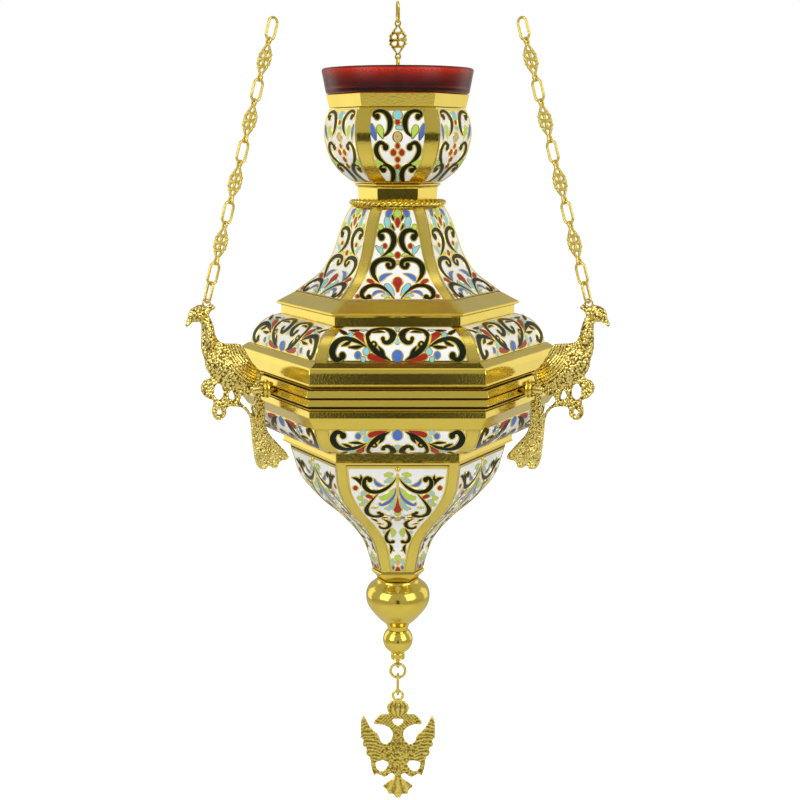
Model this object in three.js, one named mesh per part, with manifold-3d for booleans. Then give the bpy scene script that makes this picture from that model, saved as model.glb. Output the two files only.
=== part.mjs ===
// A hanging vigil lamp: a six-sided gilt body in five enamelled tiers, a red glass cup, three bird
// brackets with their chains, and a double-headed eagle on a ring below.
// Millimetres, +Z up. The origin is on the lamp's axis, level with the ends of the two front chains.
// Radii of six-sided pieces are measured to their corners.

import * as THREE from 'three';
import Module from 'manifold-3d';
import { mergeVertices } from 'three/addons/utils/BufferGeometryUtils.js';

const wasm = await Module();
wasm.setup();

// Sizes shared by all pieces

const seatGap = 0.3; // clearance between pieces that seat on each other
const rodRadius = 3;
const rodHole = rodRadius + seatGap;
const regular = 30; // half angle of a face of a regular hexagon, degrees
const flat = Math.cos(Math.PI / 6); // apothem of a regular hexagon over its corner radius

// Enamel plates and the gilt shells that hold them

const plateThickness = 1.2;
const plateProud = 0.25; // how far a plate stands out of its shell
const shellBacking = 1; // metal left behind a plate
const shellWall = plateThickness - plateProud + seatGap + shellBacking;
const narrowMargin = [0.9, 0.9]; // gilt edge beside the plates on the bird faces, at top and bottom

// Tiers, from the girdle up and from the girdle down.
// A curve runs from a tier's wide or upper end: shares of the change of radius, and of the height.

const band = {
  height: 16.6, wideRadius: 79.2, narrowRadius: 61.2, stations: 4,
  upperMargin: [5, 5], lowerMargin: [6, 6], endMargin: 1.3,
};
const lowerBandExtra = 1.2; // the lower band is this much wider than the upper one
const girdle = { topHalf: 18.4, bottomHalf: 14.8, reedRadius: band.wideRadius + 9.5, ledgeWidth: 6 };
const cornice = { stepHeight: 5.3, stepRadius: band.narrowRadius + 1.3, lipHeight: 1.3, lipRim: 2.6, wall: 5 };
const bell = {
  height: 50.4, topRadius: 24.4, bottomRadius: cornice.stepRadius + 1.8, stations: 7,
  curve: [[0, 0], [0.095, 0.13], [0.183, 0.32], [0.27, 0.507], [0.43, 0.7], [0.63, 0.824], [0.86, 0.953], [1, 1]],
  spreadTop: 31.3, spreadBottom: 31, wideMargin: [4.6, 4.1], topMargin: 1, bottomMargin: 9.9, capThickness: 2,
};
const rope = { radius: bell.topRadius - 0.2, thickness: 3.2, strands: 16, sink: 0.2 };
const neck = { height: 11.3, topRadius: 22.8, waistRadius: 21, footRadius: bell.topRadius - 4, wall: 2.2, floor: 2 };
const bowl = {
  height: 38, topRadius: 35.4, bottomRadius: neck.topRadius - 0.4, stations: 6,
  curve: [[0, 0], [-0.19, 0.16], [-0.255, 0.34], [-0.176, 0.5], [-0.02, 0.655], [0.3, 0.815], [0.65, 0.92], [1, 1]],
  spreadTop: 32.5, spreadBottom: 31.5, wideMargin: [6.1, 6.5], topMargin: 1.2, bottomMargin: 2,
};
const collar = { height: 6.8, footRadius: bowl.topRadius + 0.3, topRadius: bowl.topRadius + 2, wall: 2.4, seat: 1.6 };
const lowerCornice = {
  height: 5.6, topRadius: band.narrowRadius + lowerBandExtra, rollRim: 1.5, rollHeight: 1.6, wall: 4.9,
};
const taper = {
  height: 71, topRadius: lowerCornice.topRadius - 3.4, bottomRadius: 14.2, stations: 8,
  curve: [
    [0, 0], [0.055, 0.12], [0.1, 0.21], [0.2, 0.31], [0.4, 0.445],
    [0.6, 0.553], [0.75, 0.65], [0.865, 0.747], [0.93, 0.845], [1, 1],
  ],
  spreadTop: 32, spreadBottom: 38, wideMargin: [4.9, 5.3], topMargin: 1.8, bottomMargin: 1.2,
};

// Glass cup

const glass = {
  rimRadius: 39.5, rimHeight: 12.8, skirtRadius: 37.4, footRadius: 20,
  bodyDepth: 38.5, wall: 2.2, floor: 3, clearance: 0.5,
};
const glassBody = bowl.topRadius * flat - shellWall - glass.clearance; // it passes through the bowl's mouth

// Turned pieces below the body

const baseCup = { height: 5.6, rimRadius: taper.bottomRadius + 0.8, rimHeight: 1.4, footRadius: 11.4 };
const bulb = { height: 30, topRadius: baseCup.footRadius + 0.2, fullRadius: 17.8, waistRadius: 5.8 };
const ball = { radius: 8.4, height: 12, bossRadius: 4.1, bossHeight: 6, rodDepth: 9.5 };
const lug = { radius: 2.7, thickness: 2, hole: 1.5, slack: 0.45, drop: 2.3 };

// Pendant: ring, link and eagle

const ring = { radius: 4.2, wire: 1.5 };
const link = { width: 7, length: 13.2, wire: 1.5, slack: 0.4 };
const eagle = { thickness: 1.6, eyeRadius: 3.7, eyeHole: 1.95, slack: 0.4, breast: 1.6 };

// Birds and their sockets

const bird = {
  thickness: 3.4, faceAngles: [90, 210, 330], names: ['back', 'front_left', 'front_right'],
  drawnEye: [32.48, 46], // the eye as drawn: out from the girdle's face, and over the bracket line
};
const birdEye = { reach: 109.3, rise: 46, radius: 2.5, hole: 1.4, thickness: 1.6, slack: 0.6 };
const birdPin = { radius: 2.3, innerReach: 5.8, outerReach: 9.2 };
const socket = { radius: 4.8, length: 3.2 };

// Chains

const chain = {
  lean: 15.93, wire: 1.1, weld: 0.12, frontUnits: 4, backUnits: 5,
  twist: { back: 12, front_left: 14, front_right: -14 }, // how far the links are turned about the chain
};
const oval = { length: 12, width: 6.4 };
const smallOval = { length: 11.3, width: 5.4 };
const jumpRing = { length: 5.1, width: 5.1 };
const filigree = { length: 22.6, thickness: 1.1, eyeRadius: 1.9, eyeHole: 1 };

// Materials

const metal = (color, roughness) => new THREE.MeshStandardMaterial({ color, roughness, metalness: 1 });
const gilt = metal(0xc9a23e, 0.18);
const castGilt = metal(0xc29a35, 0.4);
const enamel = new THREE.MeshStandardMaterial({ color: 0xececea, roughness: 0.25 });
const redGlass = new THREE.MeshStandardMaterial({
  color: 0x7a0c06, roughness: 0.05, transparent: true, opacity: 0.75,
});

// Solids: closed meshes in and out of the boolean library

function faceOutwards(geometry) {
  const p = geometry.attributes.position;
  const index = geometry.index.array;
  const [a, b, c] = [new THREE.Vector3(), new THREE.Vector3(), new THREE.Vector3()];
  let volume = 0;
  for (let i = 0; i < index.length; i += 3) {
    a.fromBufferAttribute(p, index[i]);
    b.fromBufferAttribute(p, index[i + 1]);
    c.fromBufferAttribute(p, index[i + 2]);
    volume += a.dot(b.cross(c));
  }
  if (volume < 0) {
    for (let i = 0; i < index.length; i += 3) [index[i], index[i + 1]] = [index[i + 1], index[i]];
  }
  return geometry;
}

function closed(geometry) {
  geometry.deleteAttribute('normal');
  geometry.deleteAttribute('uv');
  const merged = mergeVertices(geometry, 1e-4);
  const index = [];
  const old = merged.index.array;
  for (let i = 0; i < old.length; i += 3) {
    const [a, b, c] = [old[i], old[i + 1], old[i + 2]];
    if (a !== b && b !== c && c !== a) index.push(a, b, c);
  }
  merged.setIndex(index);
  return faceOutwards(merged);
}

function solid(geometry) {
  const g = closed(geometry);
  return new wasm.Manifold(new wasm.Mesh({
    numProp: 3,
    vertProperties: new Float32Array(g.attributes.position.array),
    triVerts: new Uint32Array(g.index.array),
  }));
}

function geometryOf(body) {
  const mesh = body.getMesh();
  const geometry = new THREE.BufferGeometry();
  geometry.setAttribute('position', new THREE.BufferAttribute(new Float32Array(mesh.vertProperties), 3));
  geometry.setIndex(Array.from(mesh.triVerts));
  geometry.computeVertexNormals();
  return geometry;
}

const lamp = new THREE.Group();

function add(name, shape, material) {
  const geometry = shape.isBufferGeometry ? closed(shape) : geometryOf(shape);
  geometry.computeVertexNormals();
  const mesh = new THREE.Mesh(geometry, material);
  mesh.name = name;
  lamp.add(mesh);
  return mesh;
}

// A loft through rings of points. Without caps its last ring joins its first, as round a hollow shell.

function loft(rings, capped) {
  const n = rings[0].length;
  const positions = rings.flat().flat();
  const index = [];
  const steps = capped ? rings.length - 1 : rings.length;
  for (let i = 0; i < steps; i += 1) {
    const next = (i + 1) % rings.length;
    for (let j = 0; j < n; j += 1) {
      const k = (j + 1) % n;
      const [a, b, c, d] = [i * n + j, i * n + k, next * n + k, next * n + j];
      index.push(a, b, c, a, c, d);
    }
  }
  if (capped) {
    const last = (rings.length - 1) * n;
    for (let j = 1; j < n - 1; j += 1) index.push(0, j + 1, j, last, last + j, last + j + 1);
  }
  const geometry = new THREE.BufferGeometry();
  geometry.setAttribute('position', new THREE.Float32BufferAttribute(positions, 3));
  geometry.setIndex(index);
  return geometry;
}

// Six-sided work. The wide faces look along 270, 30 and 150 degrees, the bird faces along 90, 210 and
// 330. "spread" is half the angle that a wide face takes up: 30 degrees on a regular hexagon.

const wideAngles = [270, 30, 150];
const radians = THREE.MathUtils.degToRad;

function hexagon([radius, z, spread = regular]) {
  const points = [];
  for (const angle of wideAngles) {
    for (const side of [-1, 1]) {
      const a = radians(angle + side * spread);
      points.push([radius * Math.cos(a), radius * Math.sin(a), z]);
    }
  }
  return points;
}

function sixSided(profile) {
  return loft(profile.map(hexagon), false);
}

function turned(profile, segments) {
  const points = profile.map(([radius, z]) => new THREE.Vector2(radius, z));
  return new THREE.LatheGeometry(points, segments).rotateX(Math.PI / 2);
}

function drum(radius, bottom, top, segments = 12) {
  return turned([[0, bottom], [radius, bottom], [radius, top], [0, top]], segments);
}

// The outline of a tier between its ends, as [radius, height, spread]

function tierProfile(tier, bottom) {
  const curve = new THREE.SplineCurve(tier.curve.map(([share, drop]) => new THREE.Vector2(share, drop)));
  const span = tier.bottomRadius - tier.topRadius;
  const points = [];
  for (let i = 0; i <= tier.stations; i += 1) {
    const { x: share, y: drop } = curve.getPoint(i / tier.stations);
    points.push([
      tier.topRadius + share * span,
      bottom + tier.height * (1 - drop),
      THREE.MathUtils.lerp(tier.spreadTop, tier.spreadBottom, drop),
    ]);
  }
  return points;
}

function bandProfile(extra, bottom, flip) {
  const points = [];
  const span = band.wideRadius - band.narrowRadius;
  for (let i = 0; i <= band.stations; i += 1) {
    const a = (Math.PI / 2) * (1 - i / band.stations);
    const rise = band.height * Math.sin(a);
    const radius = band.narrowRadius + extra + span * Math.cos(a);
    points.push([radius, flip ? bottom + band.height - rise : bottom + rise, regular]);
  }
  return flip ? points.reverse() : points;
}

// Slope of a profile at a point, as the outward normal over apothem and height

function normalAt(profile, i) {
  const before = profile[Math.max(i - 1, 0)];
  const after = profile[Math.min(i + 1, profile.length - 1)];
  const run = (after[0] - before[0]) * flat;
  const fall = before[1] - after[1];
  const length = Math.hypot(run, fall);
  return [fall / length, run / length];
}

const steepest = 0.4; // least share of the normal that is level, so that walls stay a sensible width

function shell(profile, ends = []) {
  const inner = profile.map(([radius, z, spread], i) => {
    const level = Math.max(normalAt(profile, i)[0], steepest);
    return [radius - shellWall / level / flat, z, spread];
  });
  return solid(sixSided([...profile, ...ends, ...inner.reverse()]));
}

function trim(profile, startMargin, endMargin) {
  const lengths = [0];
  for (let i = 1; i < profile.length; i += 1) {
    const run = (profile[i][0] - profile[i - 1][0]) * flat;
    lengths.push(lengths[i - 1] + Math.hypot(run, profile[i][1] - profile[i - 1][1]));
  }
  const total = lengths[lengths.length - 1];
  const at = (distance) => {
    let i = 1;
    while (i < profile.length - 1 && lengths[i] < distance) i += 1;
    const t = (distance - lengths[i - 1]) / (lengths[i] - lengths[i - 1]);
    return profile[i].map((value, k) => THREE.MathUtils.lerp(profile[i - 1][k], value, t));
  };
  const inside = profile.filter((_, i) => lengths[i] > startMargin + 1 && lengths[i] < total - endMargin - 1);
  return [at(startMargin), ...inside, at(total - endMargin)];
}

// A plate over one face, bent to the tier's outline

function facePlate(profile, angle, wide, margins, outer, inner, grow) {
  const [top, bottom] = [profile[0][1], profile[profile.length - 1][1]];
  const rings = profile.map(([radius, z, spread], i) => {
    const margin = THREE.MathUtils.lerp(margins[0], margins[1], (top - z) / (top - bottom));
    const half = radians(wide ? spread : 60 - spread);
    const [na, nz] = normalAt(profile, i);
    const apothem = radius * Math.cos(half);
    const width = Math.max(radius * Math.sin(half) - margin, 0.8) + grow;
    const end = (i === 0 ? -grow : 0) + (i === profile.length - 1 ? grow : 0);
    const along = [nz * end, -na * end];
    const corner = (offset, side) => {
      const a = apothem + na * offset + along[0];
      const u = width * side;
      const t = radians(angle);
      return [
        a * Math.cos(t) - u * Math.sin(t),
        a * Math.sin(t) + u * Math.cos(t),
        z + nz * offset + along[1],
      ];
    };
    return [corner(outer, -1), corner(outer, 1), corner(-inner, 1), corner(-inner, -1)];
  });
  return solid(loft(rings, true));
}

const faces = [
  ['front', 270], ['front_right', 330], ['back_right', 30], ['back', 90], ['back_left', 150], ['front_left', 210],
];

function enamelledTier(name, profile, tier, ends) {
  let frame = shell(profile, ends);
  const inset = plateThickness - plateProud;
  const field = trim(profile, tier.topMargin, tier.bottomMargin);
  for (const [face, angle] of faces) {
    const wide = wideAngles.includes(angle);
    const margins = wide ? tier.wideMargin : narrowMargin;
    const plate = facePlate(field, angle, wide, margins, plateProud, inset, 0);
    const pocket = facePlate(field, angle, wide, margins, plateProud + 2, inset + seatGap, seatGap);
    frame = frame.subtract(pocket);
    add(`${name}_enamel_${face}`, plate, enamel);
  }
  add(`${name}_frame`, frame, gilt);
}

// Heights, stacked from the girdle's bracket line

const girdleFace = girdle.reedRadius * flat; // out to the middle of a face
const girdleTop = girdle.topHalf;
const girdleBottom = -girdle.bottomHalf;
const lipDepth = 1.5; // how deep the bands stand in the girdle
const bandBottom = girdleTop - lipDepth + seatGap;
const corniceBottom = bandBottom + band.height + seatGap;
const corniceTop = corniceBottom + cornice.stepHeight + cornice.lipHeight;
const bellBottom = corniceTop + seatGap;
const bellTop = bellBottom + bell.height;
const neckBottom = bellTop + seatGap;
const neckTop = neckBottom + neck.height;
const bowlBottom = neckTop + seatGap;
const bowlTop = bowlBottom + bowl.height;
const collarBottom = bowlTop + seatGap;
const collarTop = collarBottom + collar.height;
const glassSeat = collarTop + seatGap;
const lowerBandTop = girdleBottom + lipDepth - seatGap;
const lowerBandBottom = lowerBandTop - band.height;
const lowerCorniceTop = lowerBandBottom - seatGap;
const lowerCorniceBottom = lowerCorniceTop - lowerCornice.height;
const taperTop = lowerCorniceBottom - seatGap;
const taperBottom = taperTop - taper.height;
const cupTop = taperBottom - seatGap;
const cupBottom = cupTop - baseCup.height;
const bulbTop = cupBottom - seatGap;
const bulbBottom = bulbTop - bulb.height;
const ballTop = bulbBottom - seatGap;
const ballBottom = ballTop - ball.height;
const bossBottom = ballBottom - ball.bossHeight;
const lugHeight = bossBottom - lug.drop;

// Girdle: a rolled cornice, two reeds and a hollow below, with a ledge at each end for the bands

const rodBore = drum(rodHole, -taper.height * 4, taper.height * 4);

function girdleRing() {
  const reed = girdle.reedRadius;
  const topBore = band.wideRadius + seatGap;
  const lowBore = band.wideRadius + lowerBandExtra + seatGap;
  const [top, low] = [girdleTop, girdleBottom];
  const outline = [
    [topBore, top], [topBore + 1.3, top], [reed - 3.6, top - 3.4], [reed - 2.9, top - 4.8],
    [reed - 2.9, top - 10.8], [reed - 4.7, top - 12.4], [reed - 1, top - 13], [reed, top - 14.4],
    [reed, top - 16.4], [reed - 1, top - 17.6], [reed - 2.2, top - 18.4], [reed - 0.5, top - 19.2],
    [reed - 0.5, top - 21.4], [reed - 2.7, top - 22.6], [reed - 2, top - 23.6], [reed - 2.6, top - 24.8],
    [reed - 2.6, low + 5.3], [reed - 6, low + 2.4], [reed - 7.1, low], [lowBore, low],
  ];
  const bore = [
    [lowBore, low + lipDepth], [lowBore - girdle.ledgeWidth, low + lipDepth],
    [reed - girdle.ledgeWidth - 3, low + 6], [reed - girdle.ledgeWidth - 3, top - 6],
    [topBore - girdle.ledgeWidth, top - lipDepth], [topBore, top - lipDepth],
  ];
  let body = solid(sixSided([...outline, ...bore]));
  for (const angle of bird.faceAngles) {
    const hole = drum(birdPin.radius + seatGap, girdleFace / 2, girdleFace * 2).rotateY(Math.PI / 2);
    body = body.subtract(solid(hole.rotateZ(radians(angle))));
  }
  return body;
}

add('girdle', girdleRing(), gilt);

// Bands above and below the girdle

const bandEnds = { topMargin: band.endMargin, bottomMargin: band.endMargin };
const upperProfile = bandProfile(0, bandBottom, false);
enamelledTier('upper_band', upperProfile, { wideMargin: band.upperMargin, ...bandEnds });
const lowerProfile = bandProfile(lowerBandExtra, lowerBandBottom, true);
enamelledTier('lower_band', lowerProfile, { wideMargin: band.lowerMargin, ...bandEnds });

// Upper body: cornice, bell, rope ring, neck, bowl and collar

const corniceBore = cornice.stepRadius - cornice.wall;
const corniceLip = cornice.stepRadius + cornice.lipRim;
add('cornice', sixSided([
  [corniceBore, corniceBottom], [cornice.stepRadius, corniceBottom],
  [cornice.stepRadius, corniceTop - cornice.lipHeight], [corniceLip, corniceTop - cornice.lipHeight * 0.8],
  [corniceLip, corniceTop], [corniceBore, corniceTop],
]), gilt);

function bellTier() {
  const profile = tierProfile(bell, bellBottom);
  const top = profile[0];
  const hole = neck.footRadius - neck.wall * 2;
  enamelledTier('bell', profile, bell);
  const cap = sixSided([
    [hole, bellTop], [top[0] - 1, bellTop, top[2]],
    [top[0] - 1, bellTop - bell.capThickness, top[2]], [hole, bellTop - bell.capThickness],
  ]);
  const frame = lamp.getObjectByName('bell_frame');
  frame.geometry = geometryOf(solid(frame.geometry).add(solid(cap)));
}

bellTier();

function ropeRing() {
  const steps = rope.strands * 2;
  const rings = [];
  for (let i = 0; i < steps; i += 1) {
    const a = (2 * Math.PI * i) / steps;
    const section = [];
    for (let j = 0; j < 6; j += 1) {
      const b = (Math.PI * (j + i)) / 3;
      const r = (rope.thickness / 2) * (j % 2 ? 0.72 : 1);
      const out = rope.radius + r * Math.cos(b);
      section.push([out * Math.cos(a), out * Math.sin(a), neckBottom - rope.sink + rope.thickness / 2 + r * Math.sin(b)]);
    }
    rings.push(section);
  }
  return loft(rings, false);
}

add('rope_ring', ropeRing(), castGilt);

const floorBottom = neckTop - neck.floor;
add('neck_ring', solid(sixSided([
  [rodHole * 1.5, neckTop], [neck.topRadius, neckTop], [neck.waistRadius, neckTop - 2],
  [neck.footRadius, neckBottom], [neck.footRadius - neck.wall, neckBottom],
  [neck.waistRadius - neck.wall, floorBottom], [rodHole * 1.5, floorBottom],
])), gilt);

enamelledTier('bowl', tierProfile(bowl, bowlBottom), bowl);

function collarRing() {
  const wall = collar.wall / flat;
  const body = solid(sixSided([
    [glass.footRadius, collarTop], [collar.topRadius, collarTop], [collar.footRadius, collarBottom],
    [collar.footRadius - wall, collarBottom], [collar.topRadius - wall, collarTop - collar.seat],
    [glass.footRadius, collarTop - collar.seat],
  ]));
  return body.subtract(solid(drum(glassBody + glass.clearance, collarBottom - 5, collarTop + 5, 32)));
}

add('collar', collarRing(), gilt);

// Glass cup: its skirt rests on the collar and its body hangs inside the bowl

function glassCup() {
  const { wall } = glass;
  const foot = glassSeat - glass.bodyDepth;
  const rim = glassSeat + glass.rimHeight;
  return turned([
    [0, foot], [glass.footRadius - 1.5, foot], [glass.footRadius, foot + 1.5],
    [glassBody, glassSeat - 2], [glassBody, glassSeat], [glass.skirtRadius, glassSeat],
    [glass.rimRadius, rim - 0.6], [glass.rimRadius - wall / 2, rim], [glass.rimRadius - wall, rim - 0.6],
    [glass.skirtRadius - wall, glassSeat + wall + 1], [glassBody - wall, glassSeat],
    [glass.footRadius - wall, foot + glass.floor + 1], [glass.footRadius - wall - 1.5, foot + glass.floor],
    [0, foot + glass.floor],
  ], 24);
}

add('glass_cup', glassCup(), redGlass);

// Lower body: cornice, taper and the cup that it stands in

const lowerBore = lowerCornice.topRadius - lowerCornice.wall;
const lowerRoll = lowerCornice.topRadius + lowerCornice.rollRim;
add('lower_cornice', sixSided([
  [lowerBore, lowerCorniceTop], [lowerCornice.topRadius, lowerCorniceTop],
  [lowerCornice.topRadius, lowerCorniceBottom + lowerCornice.rollHeight],
  [lowerRoll, lowerCorniceBottom + lowerCornice.rollHeight * 0.7],
  [lowerRoll, lowerCorniceBottom + lowerCornice.rollHeight * 0.2],
  [lowerRoll - 1, lowerCorniceBottom], [lowerBore, lowerCorniceBottom],
]), gilt);

enamelledTier('taper', tierProfile(taper, taperBottom), taper);

add('base_cup', solid(sixSided([
  [1, cupTop, taper.spreadBottom], [baseCup.rimRadius, cupTop, taper.spreadBottom],
  [baseCup.rimRadius, cupTop - baseCup.rimHeight, taper.spreadBottom],
  [baseCup.footRadius, cupBottom, regular], [1, cupBottom, regular],
])).subtract(solid(rodBore.clone())), gilt);

function bulbBody() {
  const full = bulb.fullRadius;
  const outline = new THREE.SplineCurve([
    new THREE.Vector2(bulb.topRadius, bulbTop), new THREE.Vector2(bulb.topRadius + 0.6, bulbTop - 1.4),
    new THREE.Vector2(full * 0.92, bulbTop - 5), new THREE.Vector2(full, bulbTop - 10),
    new THREE.Vector2(full * 0.93, bulbTop - 15.8), new THREE.Vector2(full * 0.64, bulbTop - 22.6),
    new THREE.Vector2(bulb.waistRadius + 1, bulbTop - 27), new THREE.Vector2(bulb.waistRadius, bulbBottom),
  ]).getPoints(10).map((p) => [p.x, p.y]);
  return solid(turned([[0, bulbTop], ...outline, [0, bulbBottom]], 16)).subtract(solid(rodBore.clone()));
}

add('finial_bulb', bulbBody(), gilt);

function ballBody() {
  const middle = (ballTop + ballBottom) / 2;
  const outline = [[0, ballTop]];
  const steps = 5;
  for (let i = 0; i <= steps; i += 1) {
    const a = Math.acos(0.68) * (1 - (2 * i) / steps);
    const r = ball.radius * Math.cos(a);
    outline.push([r, middle + ((ball.height / 2) * Math.sin(a)) / Math.sin(Math.acos(0.68))]);
  }
  outline.push([ball.bossRadius, ballBottom - 0.3], [ball.bossRadius, bossBottom + 0.8]);
  outline.push([ball.bossRadius - 0.8, bossBottom], [0, bossBottom]);
  const boss = solid(turned(outline, 14));
  const blade = solid(new THREE.BoxGeometry(lug.thickness, lug.radius * 2, lug.drop + 1)
    .translate(0, 0, lugHeight + (lug.drop + 1) / 2));
  const eye = solid(drum(lug.radius, -lug.thickness / 2, lug.thickness / 2, 16).rotateY(Math.PI / 2)
    .translate(0, 0, lugHeight));
  const hole = solid(drum(lug.hole, -lug.thickness, lug.thickness, 12).rotateY(Math.PI / 2)
    .translate(0, 0, lugHeight));
  const rodSeat = solid(drum(rodHole, ballTop - ball.rodDepth, ballTop + 5));
  return boss.add(blade).add(eye).subtract(hole).subtract(rodSeat);
}

add('finial_ball', ballBody(), gilt);

// Rod that draws the tiers together, and its nut on the neck's floor under the glass

const nutHeight = 3.6;
const rodTop = neckTop + seatGap + nutHeight + 0.6;
add('tie_rod', drum(rodRadius, ballTop - ball.rodDepth + seatGap, rodTop, 16), gilt);
add('tie_nut', solid(drum(rodRadius * 2.2, neckTop + seatGap, neckTop + seatGap + nutHeight, 6))
  .subtract(solid(rodBore.clone())), gilt);

// Wire loops: a round wire along a closed racetrack that lies in the XZ plane, long way up

function wireLoop(length, width, wire, steps = 10, sides = 4) {
  const r = wire / 2;
  const end = width / 2 - r;
  const straight = length / 2 - r - end;
  const rings = [];
  for (let i = 0; i < steps; i += 1) {
    const a = (2 * Math.PI * (i + 0.5)) / steps;
    const lift = Math.sin(a) > 0 ? straight : -straight;
    const section = [];
    for (let j = 0; j < sides; j += 1) {
      const b = (2 * Math.PI * j) / sides;
      const out = end + r * Math.cos(b);
      section.push([out * Math.cos(a), r * Math.sin(b), lift + out * Math.sin(a)]);
    }
    rings.push(section);
  }
  return loft(rings, false);
}

const ringCentre = lugHeight - (lug.hole - ring.wire / 2 - lug.slack) - ring.radius;
add('pendant_ring', wireLoop(2 * ring.radius + ring.wire, 2 * ring.radius + ring.wire, ring.wire, 16, 6)
  .translate(0, 0, ringCentre), castGilt);

const linkTop = ringCentre - ring.radius + ring.wire / 2 + link.slack + link.wire / 2;
const linkCentre = linkTop - (link.length - link.wire) / 2;
add('pendant_link', wireLoop(link.length, link.width, link.wire, 12, 5).rotateZ(Math.PI / 2)
  .translate(0, 0, linkCentre), castGilt);

// Flat castings: an outline in one plane, pierced and given thickness along Y

function casting(outline, holes, thickness) {
  const edge = outline.map(([x, z]) => new THREE.Vector2(x, z));
  const shape = new THREE.Shape(THREE.ShapeUtils.isClockWise(edge) ? edge.reverse() : edge);
  for (const hole of holes) shape.holes.push(new THREE.Path(hole.map(([x, z]) => new THREE.Vector2(x, z))));
  const body = new THREE.ExtrudeGeometry(shape, { depth: thickness, bevelEnabled: false });
  return solid(body.translate(0, 0, -thickness / 2).rotateX(Math.PI / 2));
}

function roundHole(x, z, radius, sides = 10) {
  const points = [];
  for (let i = 0; i < sides; i += 1) {
    const a = (2 * Math.PI * i) / sides;
    points.push([x + radius * Math.cos(a), z + radius * Math.sin(a)]);
  }
  return points;
}

function lump(x, z, long, short, thick, turn) {
  const body = new THREE.SphereGeometry(1, 8, 6).scale(long, thick, short);
  return solid(body.rotateY(-radians(turn)).translate(x, 0, z));
}

const mirrored = (half) => [...half, ...half.map(([x, z]) => [-x, z]).reverse()];

// Double-headed eagle: its outline hangs from the centre of its eye, right half from the top down

function eagleBody() {
  const crown = [[2.2, -3.2], [5, -4.2], [6.5, -7.4], [5.6, -11.2]];
  const head = [[8.8, -11.2], [11.3, -12.6], [13.9, -16.2], [12.7, -17.8], [8.6, -17.9], [4.6, -20.2]];
  const neckLine = [[3.3, -23.4], [4.4, -27.4], [6.9, -29.4]];
  const wing = [
    [9.6, -27.8], [10.8, -23.9], [15.2, -19.6], [17.6, -15], [19.3, -12.2], [21.2, -14.8], [21.4, -20.2],
    [21.3, -25.6], [19.9, -26.8], [20.2, -30.6], [18.2, -31.8], [18.3, -35.8], [16.2, -37.8],
  ];
  const claw = [[15.3, -44.2], [13.5, -49.3], [11.9, -47.7], [7.6, -50], [3.8, -47.4], [2.2, -49.8]];
  const tail = [[8.8, -54.8], [6.6, -57.4], [5.6, -60.2], [2.8, -60.4], [1.2, -62.6]];
  const outline = mirrored([...crown, ...head, ...neckLine, ...wing, ...claw, ...tail]);
  const collarHole = [[-3, -14.7], [3, -14.7], [0, -18.2]];
  const legHole = [[12.6, -41], [8.3, -39.6], [5.7, -41.2], [6.8, -44], [8.9, -46], [11.4, -45]];
  const flipped = legHole.map(([x, z]) => [-x, z]);
  let body = casting(outline, [collarHole, legHole, flipped], eagle.thickness);
  const eye = drum(eagle.eyeRadius, -eagle.thickness / 2, eagle.thickness / 2, 16).rotateX(Math.PI / 2);
  const hole = drum(eagle.eyeHole, -eagle.thickness, eagle.thickness, 12).rotateX(Math.PI / 2);
  body = body.add(solid(eye)).subtract(solid(hole));
  body = body.add(lump(0, -36, 11, 6, eagle.breast, 90));
  return body.add(lump(0, -7.8, 5.4, 3.6, eagle.breast * 0.85, 0));
}

const linkFoot = linkCentre - (link.length - link.wire) / 2;
const eagleEye = linkFoot - (eagle.eyeHole - link.wire / 2 - eagle.slack);
add('eagle', geometryOf(eagleBody()).translate(0, 0, eagleEye), castGilt);

// Birds: outline in the radial plane, [distance out from the girdle's face, height over the bracket
// line], from the head round the beak, breast, foot and tail, and back along the back and crest

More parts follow.
